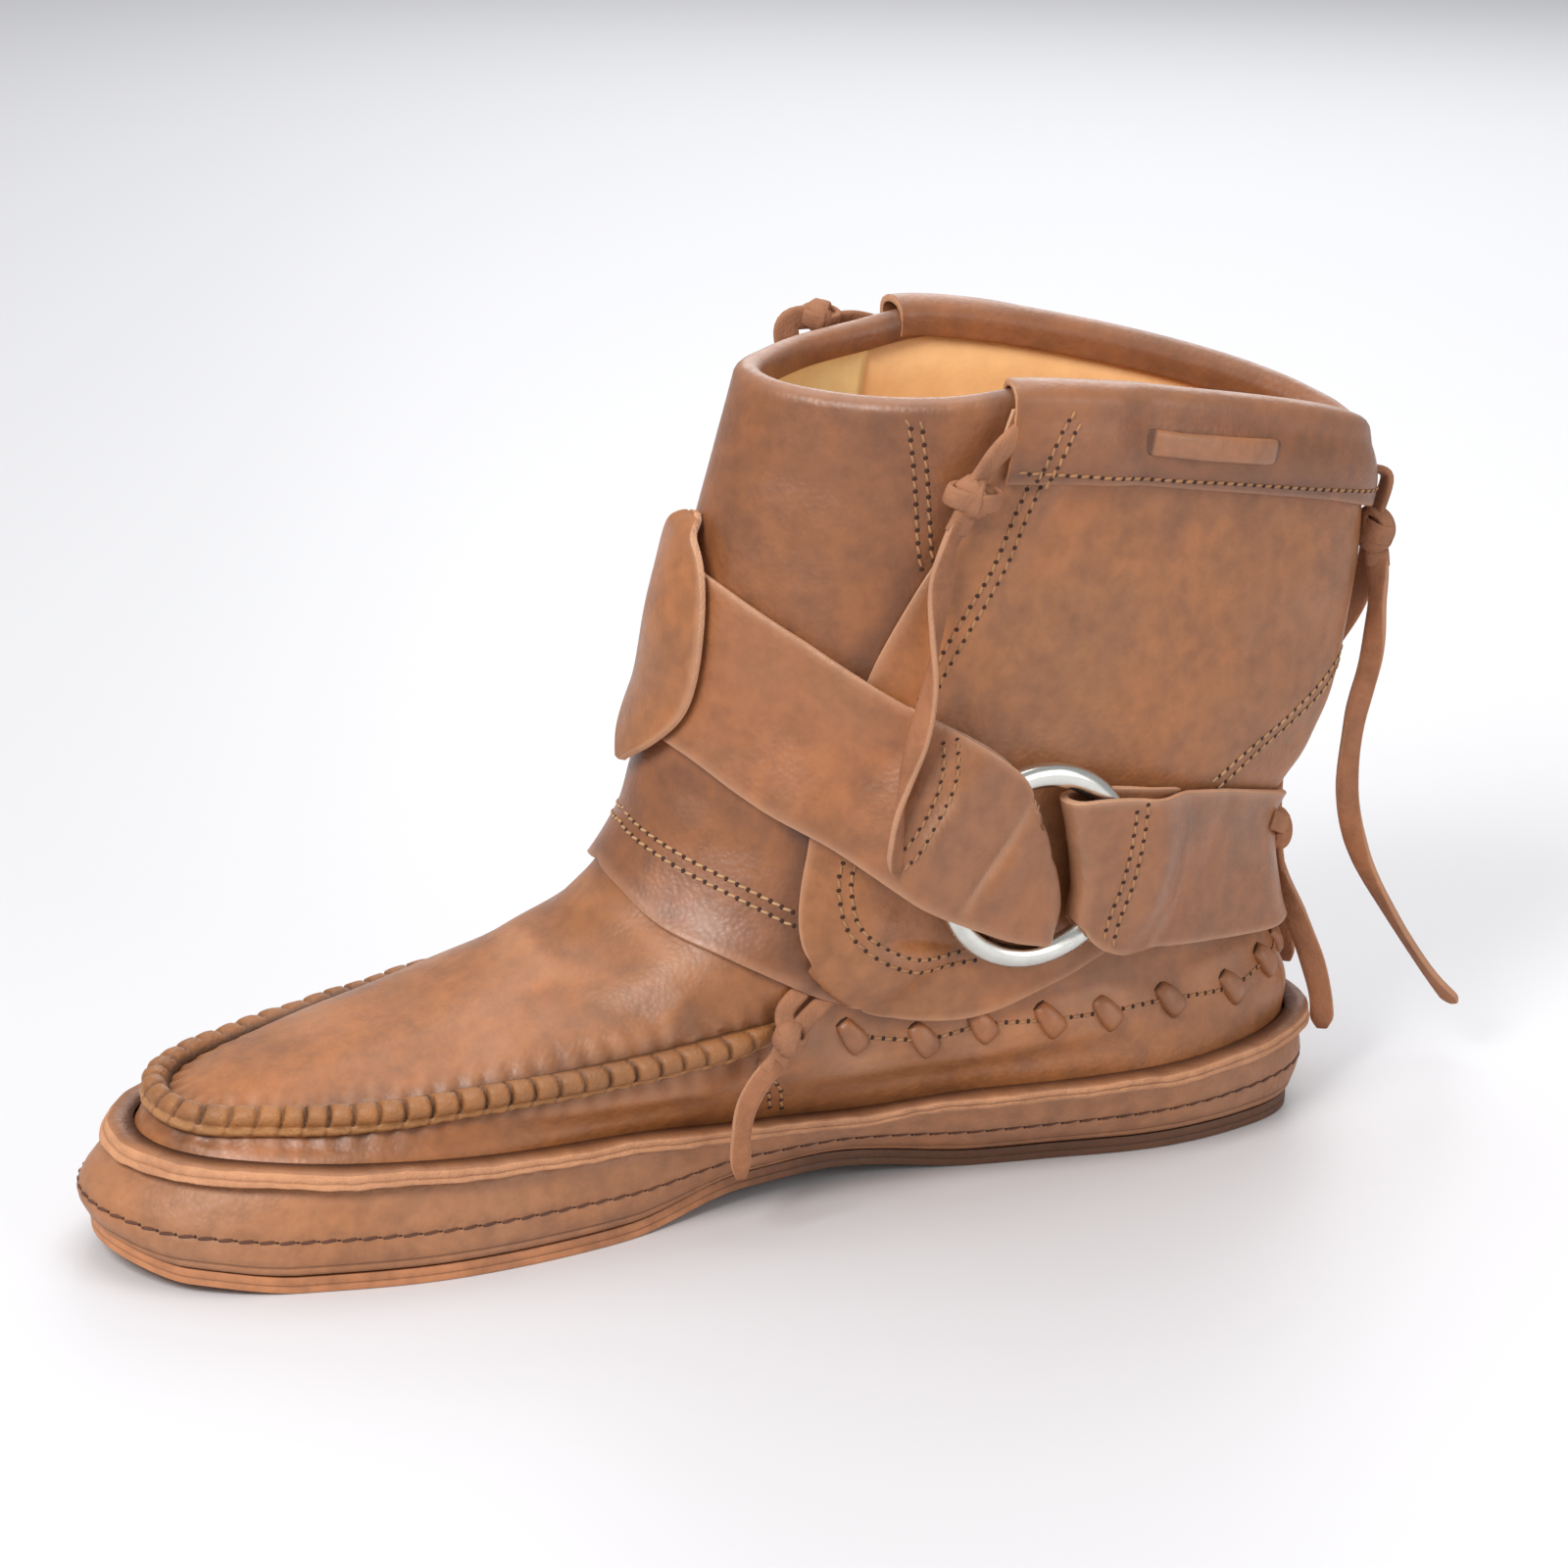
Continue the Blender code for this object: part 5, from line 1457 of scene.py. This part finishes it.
toe_seam = solid("toe_seam_puckers", [(sections, False)], SEAM_CORD)
paint(toe_seam.data, np.stack(cord_tone_and_ridge_highlight, 1), np.stack(ridge_painted_shade, 1))
stands_for(toe_seam, "seam_cord", "toe_seam")
print("seam sections:", sections.shape)

# %% Thongs
def along_route(route, count):
    """Points of the smooth curve through route rows in millimetres from the heel."""
    share = steps(0.0, 1.0, count)
    return from_heel(*[table_line(route, share, axis) for axis in range(3)]).T


def rounded_strip(sides, flat, round_side):
    """A strip's section from -1 to 1: low powers give a flatter face and rounder sides."""
    x, y = np.cos(turns_of(sides)), np.sin(turns_of(sides))
    return np.sign(x) * np.abs(x) ** flat, np.sign(y) * np.abs(y) ** round_side


STRIP_SIDES = 14


def strip_sections(centre, outward, width, thick, twist):
    """Sections of a flat strip whose face turns from outward by twist degrees."""
    ahead = unit(np.gradient(centre, axis=0))
    face = flattened(outward, ahead)
    aside = np.cross(ahead, face)
    share = steps(0.0, 1.0, len(centre))
    turn = np.radians(smooth(twist, share * (len(twist) - 1)))[:, None]
    wide = aside * np.cos(turn) + face * np.sin(turn)
    flat = face * np.cos(turn) - aside * np.sin(turn)
    x, y = rounded_strip(STRIP_SIDES, 0.45, 0.75)
    uneven = 1 + 0.06 * ripple(centre, 260.0, 1.0)[:, None, None]
    sections = centre[:, None] + (width / 2) * uneven * x[None, :, None] * wide[:, None]
    return sections + (thick / 2) * y[None, :, None] * flat[:, None]


def outward_from_leg(points):
    return unit(points * (1.0, 0.6, 0.0) + (0.0, 0.0, 1e-6))


LACE_ROUTES = {
    "back_lace_long": (
        (-16.6, 5, 122.7), (-17.2, 5, 114), (-16.3, 5, 99.5), (-12.8, 5, 84.5), (-11.8, 5, 68),
        (-15.5, 5, 53), (-23.6, 5, 38), (-33, 5, 23.5), (-40.5, 5, 14)),
    "back_lace_short": (
        (-16.6, 1, 122.4), (-16.6, -1.5, 114), (-14, -8, 101), (-8.5, -14.5, 88), (-5, -16.5, 75),
        (-3.5, -17, 62), (-4, -16.5, 50), (-6, -16, 38), (-8.5, -15.5, 28)),
    "front_lace_medial": (
        (94, 40.9, 152.1), (97, 40.8, 146), (98.8, 41.2, 136), (100.8, 43.8, 123.5), (103.8, 46.2, 112),
        (107.5, 47.2, 101), (109.6, 48, 92.5), (111, 49.6, 81)),
    "front_lace_lateral": (
        (101, -38.5, 165.7), (102, -38.4, 155), (103, -39.8, 140), (104, -43.2, 125), (105.5, -45.8, 112),
        (108, -47, 101), (110, -48, 92), (111, -49.6, 81)),
    "heel_lace_medial": (
        (3.8, 2, 54.2), (2.4, 3.2, 48), (-0.6, 4.6, 40), (-4.2, 6, 30), (-6.5, 6.5, 21), (-7.2, 6.5, 13)),
    "heel_lace_lateral": (
        (3.8, -2, 54.2), (2.8, -4, 48), (0.4, -6.5, 40), (-3.4, -9, 31), (-5.8, -10.5, 23)),
    "side_lace_medial": (
        (134.4, 43.9, 40.2), (138, 44.2, 36.6), (141.6, 44.8, 31), (143, 45.2, 24), (142.8, 44.6, 15)),
    "side_lace_lateral": (
        (134.4, -42.7, 40.2), (138, -43.2, 36.6), (141.6, -44, 31), (143, -44.4, 24), (142.8, -43.8, 15)),
}
LACE_FORMS = {
    "back_lace_long": (0.0052, (60, 20, 75, 100, 60, 20, 10, 35)),
    "back_lace_short": (0.0050, (20, 60, 95, 60, 20, 60)),
    "front_lace_medial": (0.0058, (0, 12, -8, 30, 80, 95, 70, 40, 15)),
    "front_lace_lateral": (0.0058, (0, 20, 60, 30, 0, 10)),
    "heel_lace_medial": (0.0052, (10, 40, 70, 80, 60)),
    "heel_lace_lateral": (0.0050, (10, 30, 60, 40)),
    "side_lace_medial": (0.0046, (0, -10, 15, 5)),
    "side_lace_lateral": (0.0046, (0, 10, -15, 5)),
}
THONG_THICK = 0.0018
SECTION_STEP = 0.0011
END_WIDTHS = (1.0, 0.9, 0.7, 0.45)
rubbed_edges = 0.55 * (np.abs(np.cos(turns_of(STRIP_SIDES))) > 0.9)
laces = {}
for name, route in LACE_ROUTES.items():
    width, twist = LACE_FORMS[name]
    route_length = walk_of(np.array(route))[-1] * MM
    centre = along_route(route, int(route_length / SECTION_STEP))
    sections = strip_sections(centre, outward_from_leg(centre), width, THONG_THICK, twist)
    for row, share in zip(range(-len(END_WIDTHS), 0), END_WIDTHS):
        sections[row] = mix(centre[row], sections[row], share)
    lace = solid(name + "_thong", [(sections, False)], SUEDE)
    paint(lace.data, np.tile(rubbed_edges, len(centre)), 0.0)
    stands_for(lace, "raw_leather", name)
    length = float(walk_of(centre)[-1])
    laces[name] = (lace, centre, length, width)
    print(name, "length", round(length, 4))

# %% [markdown]
# ## Free laces
#
# The laces that hang free are picked out: at least 30 mm long and six of their widths long. The short
# ends at the sides are too short for that.

# %% Free laces
CORD_LEAST, CORD_WIDTHS = 0.030, 6
free = [name for name, row in laces.items() if row[2] >= max(CORD_LEAST, CORD_WIDTHS * row[3])]
for name in free:
    lace, centre, length, width = laces[name]
print("free laces:", len(free))

# %% [markdown]
# ## Knots
#
# A real knot is one strip that turns over and under itself. From outside only a few turns show,
# so closed bands are wound round an egg of the same leather, each tilted its own way, and short
# strips join them to the laces and to the holes that these come from.

# %% Knots
def knot_bands(centre, halves, tilts, width, thick):
    """Closed bands of thong wound about an ellipsoid, each in a plane tilted about two axes."""
    parts = []
    for about_along, about_up, size in tilts:
        tilt, spin = math.radians(about_along), math.radians(about_up)
        pole = np.array((math.sin(tilt) * math.cos(spin), math.sin(tilt) * math.sin(spin), math.cos(tilt)))
        first = unit(np.cross(pole, (0.3, 0.2, 1.0)))
        second = np.cross(pole, first)
        turn = turns_of(40)[:, None]
        way = np.cos(turn) * first + np.sin(turn) * second
        reach = size / np.linalg.norm(way / halves, axis=1)
        ring = centre + reach[:, None] * way
        ahead = unit(np.roll(ring, -1, 0) - np.roll(ring, 1, 0))
        face = flattened(way, ahead)
        aside = np.cross(ahead, face)
        x, y = rounded_strip(12, 0.5, 0.8)
        band = ring[:, None] + width / 2 * x[None, :, None] * aside[:, None]
        parts.append((band + thick / 2 * y[None, :, None] * face[:, None], True))
    return parts


def ball(centre, halves, rings=10, sides=14):
    """A closed ellipsoid as a sweep."""
    tilt = steps(0.02, np.pi - 0.02, rings)[:, None]
    turn = turns_of(sides)[None]
    way = np.stack([np.sin(tilt) * np.cos(turn), np.sin(tilt) * np.sin(turn), np.cos(tilt) + 0 * turn], -1)
    return centre + way * halves, False


def stub(points, width, twist=(0, 0), outward=(1.0, 0.0, 0.0)):
    """A short strip through a few world points."""
    share = steps(0.0, 1.0, 24)
    centre = np.stack([table_line(points, share, axis) for axis in range(3)], -1)
    facing = np.broadcast_to(np.array(outward, float), centre.shape)
    return strip_sections(centre, facing, width, THONG_THICK, twist), False


KNOTS = {
    "back_knot": ((-16.6, 3, 128), (5.4, 3.5, 5)),
    "front_knot_medial": ((91.5, 40.9, 157), (2.9, 6.8, 4)),
    "front_knot_lateral": ((95.3, -38.4, 172), (2.8, 4.4, 3)),
    "heel_knot": ((3.8, 0, 60), (5.5, 3.2, 5)),
    "side_knot_medial": ((131.8, 44.1, 44.8), (2.9, 3.6, 3.6)),
    "side_knot_lateral": ((131.8, -42.7, 44.8), (2.9, 3.6, 3.6)),
}
KNOT_TILTS = {
    "back_knot": ((55, 20, 0.92), (20, 80, 0.88), (85, 120, 0.84)),
    "front_knot_medial": ((60, 90, 0.90), (20, 40, 0.88), (100, 60, 0.86)),
    "front_knot_lateral": ((60, 90, 0.95), (100, 60, 0.92), (20, 30, 0.90)),
    "heel_knot": ((75, 10, 0.90), (20, 60, 0.88), (100, 100, 0.86)),
    "side_knot_medial": ((62, 90, 0.86), (105, 70, 0.88), (25, 30, 0.84)),
    "side_knot_lateral": ((62, 90, 0.86), (105, 70, 0.88), (25, 30, 0.84)),
}
NECK_POINTS, NECK_WIDER = 4, 1.06


def necks(name, centre):
    """The thongs inside a knot, from its middle to a little way down each of its laces."""
    parts = []
    for lace_name in [lace for lace in laces if lace.startswith(name.replace("knot", "lace"))]:
        _, line, _, width = laces[lace_name]
        places = [centre, mix(centre, line[0], 0.5), line[0], line[NECK_POINTS]]
        twist = LACE_FORMS[lace_name][1][0]
        facing = outward_from_leg(line[:1])[0]
        parts.append(stub(places, width * NECK_WIDER, (twist, twist), facing))
    return parts


def far_tie(body, sizes):
    """The far lace: out of the cuff, a knot on top of the loop, and down again in front of it."""
    _, line, _, width = laces["front_lace_lateral"]
    bend = [body, from_heel(103.2, -38.4, 174.6), mix(body, line[0], 0.5) + (0.0, -0.0052, 0.0), line[0],
            line[NECK_POINTS]]
    parts = [ball(body, sizes * 0.66), stub(bend, width, (0, 0), (-1.0, 0.0, 0.2))]
    return parts + knot_bands(body, sizes, KNOT_TILTS["front_knot_lateral"], 0.0036, 0.0016)


def mouth_strip(side, towards):
    """The thong from the open end of the cuff's channel to the front knot."""
    mouth = np.array(on_side(0.3, side))
    height = cuff_top(mouth) - 0.45 * CUFF_DEPTH
    start = collar_point(mouth, height, cuff_out(mouth) + 0.0004)
    middle = mix(start, towards, 0.45) + (0.0012 * side, -0.0010, 0.0010)
    return stub([start, middle, towards], 0.0052, (0, 35), (side, 0.0, 0.0))


def heel_loops(centre):
    """Thongs that come through a hole near the end of each heel strap."""
    parts = []
    for side, _ in SIDES:
        hole, edge = [strap_layer(HEEL_STRAP_ROWS, share, across, side, LOOP_HEIGHT, STRAP_THICK + rise)
                      for share, across, rise in ((0.86, 0.80, -0.0005), (0.97, 0.72, 0.0018))]
        bow = mix(hole, edge, 0.5) + (0.0010 * side, 0.0008, 0.0)
        parts.append(stub([hole, bow, edge, centre], 0.0048, (0, 0), (side, 0.7, 0.0)))
    return parts


def side_strands(side, centre):
    """Two strands from under the panel's edge to the side knot."""
    parts = []
    for places in (((0.271, 6.55), (0.270, 6.05)), ((0.290, 6.95), (0.284, 6.30))):
        line = [surface(on_side(around, side), level, out)
                for (around, level), out in zip(places, (0.0006, 0.0026))]
        parts.append(stub([*line, centre], 0.0040, (0, 0), (side, 0.0, 0.3)))
    return parts


def back_loop(centre):
    """The thong from a hole at the back of the cuff to the back knot."""
    back = np.array(0.0)
    hole = collar_point(back, cuff_top(back) - 0.60 * CUFF_DEPTH, cuff_out(back) + 0.0004)
    bow = hole + (0.0020, 0.0052, -0.0020)
    return stub([hole, bow, centre + (0.0, 0.0, 0.003), centre], 0.0050, (0, 40), (0.3, 1.0, 0.0))


for name, (middle, halves) in KNOTS.items():
    centre, sizes = from_heel(*middle), np.array(halves) * MM
    side = -1 if name.endswith("lateral") else 1
    if name == "front_knot_lateral":
        parts = far_tie(centre + (0.0, -0.0012, 0.0030), sizes)
    else:
        band = 0.0034 if name.startswith("side") else 0.0044
        parts = necks(name, centre) + knot_bands(centre, sizes, KNOT_TILTS[name], band, 0.0015)
        parts.append(ball(centre, sizes * 0.72))
    if name.startswith("front"):
        parts.append(mouth_strip(side, centre + (0.0, -0.0006, 0.0016)))
    elif name.startswith("side"):
        parts += side_strands(side, centre)
    elif name == "heel_knot":
        parts += heel_loops(centre)
    else:
        parts.append(back_loop(centre))
    knot = solid(name + "_thong", parts, SUEDE)
    paint(knot.data, 0.12, 0.0)
    stands_for(knot, "raw_leather", name)

print("knots:", len(KNOTS))

# %% [markdown]
# ## Lace on the cuff
#
# On each side the lace comes out of the channel through a slit, lies flat on the cuff and goes
# back in. It is a strip that follows the cuff and dips into it at both ends.

# %% Lace that shows on the cuff
BAR_ENDS = (0.237, 0.156)
BAR_WIDTH, BAR_THICK, BAR_STEPS = 0.0056, 0.0020, 60
share = steps(-0.05, 1.05, BAR_STEPS)
rounded = np.sqrt(np.clip(1 - np.abs(steps(-1.0, 1.0, BAR_STEPS)) ** 12, 0.02, 1.0))
bar_holes = []
for side, name in SIDES:
    around = on_side(mix(*BAR_ENDS, share), side)
    rise = np.sin(np.pi * np.clip(share, 0.0, 1.0)) ** 0.35
    reach = cuff_out(around) + LEATHER + mix(-0.0010, 0.0022, rise)
    middle = cuff_top(around) - 0.55 * CUFF_DEPTH
    centre = collar_point(around, middle, reach)
    outward = unit(collar_point(around, middle, reach + 0.01) - centre)
    sections = strip_sections(centre, outward, (BAR_WIDTH * rounded)[:, None, None], BAR_THICK, (0, 0))
    bar = solid("collar_lace_thong_" + name, [(sections, False)], STRAP_TAN)
    # Painted shade on the bar's ends, where it dips into the slits.
    paint(bar.data, 0.1, np.repeat(0.8 * (rise < 0.5), sections.shape[1]))
    stands_for(bar, "raw_leather", "collar_lace_" + name)
    bar_holes += [(centre[row], outward[row]) for row in (2, -3)]
print("ends of lace bars:", len(bar_holes))

# %% [markdown]
# ## Needlework
#
# Every seam is real: short capsules of thread, with a dark bead of painted shade for the needle hole
# at each end, laid along a line on the last and dropped onto the leather below it. One helper makes
# them all.


# %% Dropping points on finished leather
def skins_of(*pieces):
    depsgraph = bpy.context.evaluated_depsgraph_get()
    return [BVHTree.FromObject(piece, depsgraph) for piece in pieces]


def drop(points, normals, skins, reach=0.006):
    """Points moved along their normals to the outermost finished surface below them."""
    landed = []
    for point, normal in zip(points, normals):
        start = Vector(point) + reach * Vector(normal)
        best = None
        for skin in skins:
            hit, _, _, distance = skin.ray_cast(start, -Vector(normal), 2.2 * reach)
            if hit is not None and (best is None or distance < best[0]):
                best = (distance, hit)
        landed.append(tuple(best[1]) if best else tuple(point))
    return np.array(landed)


def even_walk(line, normals, pitch, first):
    """Points, normals and directions at even steps along a line."""
    walked = walk_of(line)
    stops = np.arange(first, walked[-1], pitch)
    tracks = (line, normals, np.gradient(line, axis=0))
    points, upward, ahead = [
        np.stack([np.interp(stops, walked, track[:, axis]) for axis in range(3)], -1) for track in tracks]
    return points, unit(upward), flattened(ahead, unit(upward))


def bead_shape(rings, sides, blunt=0.7):
    """Points and faces of a unit ellipsoid, long on x; a low blunt gives squarer ends."""
    tilt = steps(0.0, np.pi, rings + 2)[1:-1]
    radius = np.sin(tilt) ** blunt
    y, z = [np.outer(radius, wave(turns_of(sides))).ravel() for wave in (np.cos, np.sin)]
    body = np.stack([np.repeat(np.cos(tilt), sides), y, z], -1)
    points = np.concatenate([body, [(1.0, 0.0, 0.0), (-1.0, 0.0, 0.0)]])
    index = np.arange(rings * sides).reshape(rings, sides)
    beside = np.roll(index, -1, 1)
    faces = np.stack([index[:-1], beside[:-1], beside[1:], index[1:]], -1).reshape(-1, 4).tolist()
    head, foot = rings * sides, rings * sides + 1
    faces += [[head, int(b), int(a)] for a, b in zip(index[0], beside[0])]
    faces += [[foot, int(a), int(b)] for a, b in zip(index[-1], beside[-1])]
    return points, faces


def beads(name, shape, places, finish):
    """One mesh of many small forms; places holds (centres, ahead, upward, (length, width, height))."""
    shape_points, shape_faces = shape
    points, faces, first = [], [], 0
    for centres, ahead, upward, halves in places:
        axes = np.stack([ahead, np.cross(upward, ahead), upward], axis=1)
        placed = centres[:, None] + (shape_points * np.array(halves)) @ axes
        points.append(placed.reshape(-1, 3))
        for index in range(len(centres)):
            start = first + index * len(shape_points)
            faces += [[start + corner for corner in face] for face in shape_faces]
        first += len(centres) * len(shape_points)
    mesh = mesh_of(name, np.concatenate(points), faces)
    face_out(mesh)
    paint(mesh)
    return new_object(name, mesh, finish)


THREAD_BEAD, HOLE_BEAD = bead_shape(4, 6), bead_shape(2, 6)
STITCH = (0.00095, 0.00036, 0.00030)
NEEDLE_HOLE = (0.00050, 0.00058, 0.00014)
THREAD_LIFT = 0.00008
SINGLE_ROW, DOUBLE_ROW = (0.0,), (-0.0013, 0.0013)


def needlework(name, lines, pieces, pitch=0.0027, rows=DOUBLE_ROW, finish=THREAD_TAN, stitch=STITCH):
    """A seam of one or two rows of stitches, with dark beads of painted shade for the needle holes, on top of
    finished pieces.
    """
    skins = skins_of(*pieces)
    threads, holes = [], []
    for line, normals in lines:
        for number, row in enumerate(rows):
            points, upward, ahead = even_walk(line, normals, pitch, pitch * (0.3 + 0.5 * (number % 2)))
            aside = np.cross(upward, ahead)
            landed = drop(points + row * aside, upward, skins) + THREAD_LIFT * upward
            threads.append((landed, unit(ahead + 0.18 * aside), upward, stitch))
            between = drop(points + row * aside + 0.5 * pitch * ahead, upward, skins)
            holes.append((between, ahead, upward, NEEDLE_HOLE))
    stands_for(beads(name + "_thread", THREAD_BEAD, threads, finish), "tan_leather")
    stands_for(beads(name + "_holes", HOLE_BEAD, holes, HOLE_SHADE), "tan_leather")


def both_sides(rows, count=120, out=0.004):
    """A seam's line on each side of the boot."""
    return [line_on_last(rows, side, count, out) for side, _ in SIDES]


print("faces in one stitch:", len(THREAD_BEAD[1]))

# %% Seams of the shaft
PANEL_SEAM = ((0.357, 15.99), (0.354, 15.86), (0.348, 15.38), (0.342, 14.82), (0.337, 14.36), (0.333, 14.09))
BAND_SEAM = ((0.500, 10.14), (0.450, 9.93), (0.415, 9.73), (0.387, 9.54), (0.364, 9.33), (0.341, 9.05))
QUARTER_SEAM = (
    (0.276, 15.92), (0.283, 15.6), (0.294, 14.75), (0.301, 14.05), (0.312, 13.37), (0.322, 12.6),
    (0.330, 11.6), (0.333, 10.7), (0.333, 9.9), (0.320, 9.2), (0.300, 8.5), (0.274, 7.77),
    (0.249, 7.2), (0.225, 7.0))
BACK_SEAM = ((0.150, 10.55), (0.142, 10.73), (0.130, 11.12), (0.112, 11.55), (0.088, 11.98), (0.045, 12.45),
             (0.0, 12.7))
CUFF_SEAM = ((0.300, 15.29), (0.294, 15.25), (0.239, 15.09), (0.184, 15.01), (0.107, 14.91), (0.0, 14.88))
needlework("panel_seam", both_sides(PANEL_SEAM), [front_panel, quarter_leather])
needlework("band_seam", both_sides(BAND_SEAM), [front_panel], finish=THREAD_LIGHT)
needlework("quarter_seam", both_sides(QUARTER_SEAM, 240), [quarter_leather, cuff])
needlework("back_seam", both_sides(BACK_SEAM), [quarter_leather], finish=THREAD_LIGHT)
needlework("cuff_seam", both_sides(CUFF_SEAM, 200), [cuff], rows=SINGLE_ROW)
print("stitch length:", 2 * STITCH[0])

# %% Seams of the foot and the rand
SIDE_SEAM = ((0.260, 4.55), (0.254, 3.55), (0.250, 2.45))
WHIP_PLACES = (
    (0.237, 4.85), (0.212, 4.36), (0.194, 4.45), (0.171, 4.24), (0.150, 4.11), (0.123, 4.02), (0.089, 3.73),
    (0.055, 4.00), (0.018, 4.05))
RAND_STITCH = (0.0017, 0.00045, 0.00035)
needlework("side_seam", both_sides(SIDE_SEAM, 60, 0.002), [upper])
needlework("heel_seam", both_sides(WHIP_PLACES + ((0.0, 4.05),)), [upper], pitch=0.0026, rows=SINGLE_ROW)
closed = np.append(ROUND, ROUND[0])
line = side_point(ROUND, rand_height(RAND_SEAM_SHARE), SEAT + RAND_THICK)
line = np.concatenate([line, line[:1]])
outward = unit(last_normal(closed, 1.0) * (1.0, 1.0, 0.0))
needlework("rand_seam", [(line, outward)], [rand], 0.0042, SINGLE_ROW, THREAD_DARK, RAND_STITCH)
print("rand seam:", round(float(walk_of(line)[-1]), 3), "m")

# %% [markdown]
# ## Whip stitches
#
# Flat strips of leather are laced over the heel seam at a slant. They are bumps with square ends
# that dip into the leather, made from the same beads as the thread.

# %% Whip stitches over the heel seam
def whip_shape(rings=12, sides=14):
    """A flat strip, a little narrower at its upper end, that dips into the leather at both ends."""
    points, faces = bead_shape(rings, sides, 0.28)
    narrow = 0.72 + 0.28 * ramp(points[:, 0], -1.0, 1.2)
    dip = 0.55 * np.abs(points[:, 0]) ** 3
    edge = np.sign(points[:, 1]) * np.abs(points[:, 1]) ** 0.7
    return np.stack([points[:, 0], edge * narrow, 0.85 * points[:, 2] - dip + 0.25], -1), faces


WHIP_HALVES, WHIP_HOLE, WHIP_TOP = (0.0043, 0.0027, 0.0019), (0.0007, 0.0017, 0.0004), 0.0041
WHIP_BACK, WHIP_DOWN = 0.55, 0.83
skins = skins_of(upper, quarter_leather)
loops, eye_shades = [], []
for side, _ in SIDES:
    around, level = np.array(WHIP_PLACES).T
    around = on_side(around, side)
    upward = last_normal(around, level)
    landed = drop(surface(around, level, np.full(len(around), 0.002)), upward, skins)
    backward = unit(last(around - 0.01 * side, level) - last(around + 0.01 * side, level))
    down = flattened(unit(WHIP_BACK * backward - (0.0, 0.0, WHIP_DOWN)), upward)
    loops.append((landed, down, upward, WHIP_HALVES))
    # A dark bead of painted shade marks the hole at the top of each whip.
    eye_shades.append((landed - WHIP_TOP * down, down, upward, WHIP_HOLE))
stands_for(beads("whip_thongs", whip_shape(), loops, STRAP_TAN), "raw_leather")
stands_for(beads("whip_holes", HOLE_BEAD, eye_shades, HOLE_SHADE), "raw_leather")
print("whip stitches:", 2 * len(WHIP_PLACES))

# %% Seams of the straps
def strap_seams(rows, inner_end, shares, across):
    """A line across the strap beside each ring, with the ring's direction as its normals."""
    at = steps(0.0, 1.0, 40)
    seams = []
    for side, _ in SIDES:
        line = outer_layer(rows, mix(*shares, at), mix(*across, at), side, inner_end, 0.003)
        seams.append((line, np.broadcast_to(ring_frame(side)[1], line.shape)))
    return seams


heel_lines = strap_seams(HEEL_STRAP_ROWS, HEEL_INNER, (0.175, 0.235), (0.06, 0.94))
front_lines = strap_seams(FRONT_STRAP_ROWS, FRONT_INNER, (0.525, 0.385), (0.14, 0.94))
needlework("heel_strap_seam", heel_lines, heel_straps)
needlework("front_strap_seam", front_lines, [front_strap])
print("strap seams:", len(heel_lines) + len(front_lines))

# %% [markdown]
# ## Slits and lining
#
# The slits at the lace's ends are flat dark beads of painted shade: a real cut would need the cuff's
# mesh to be cut as well and would look the same. A thin second skin inside the front is the lining leaf.

# %% Dark slits of painted shade
SLIT_HALVES = (0.0038, 0.0006, 0.0010)
UP = np.array([(0.0, 0.0, 1.0)])
slits = [(point[None], UP, outward[None], SLIT_HALVES) for point, outward in bar_holes]
stands_for(beads("lace_slit_shades", bead_shape(4, 8), slits, HOLE_SHADE), "tan_leather")
print("slits:", len(slits))

# %% Lining leaf inside the front
LEAF_THICK = 0.0008
leaf_level, leaf_around = np.meshgrid(steps(15.97, 12.5, 30), steps(0.335, 0.675, 80), indexing="ij")
leaf_out = np.full(leaf_level.shape, -UPPER_THICK - LEAF_THICK / 2)
leaf_points = surface(leaf_around, leaf_level, leaf_out)
leaf = hide(
    "lining_leaf", leaf_points, LEAF_THICK, LINING_LEAF, edge=LINING_LEAF, offset=0.0, round_edge=0.0)
stands_for(leaf, "tan_leather")

# %% [markdown]
# ## Sizes and finish
#
# The boot's box is measured again and kept beside the box of the solids.

# %% Finish
sizes = {"cad": [list(corner) for corner in cad_box], "visual": [list(corner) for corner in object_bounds()]}
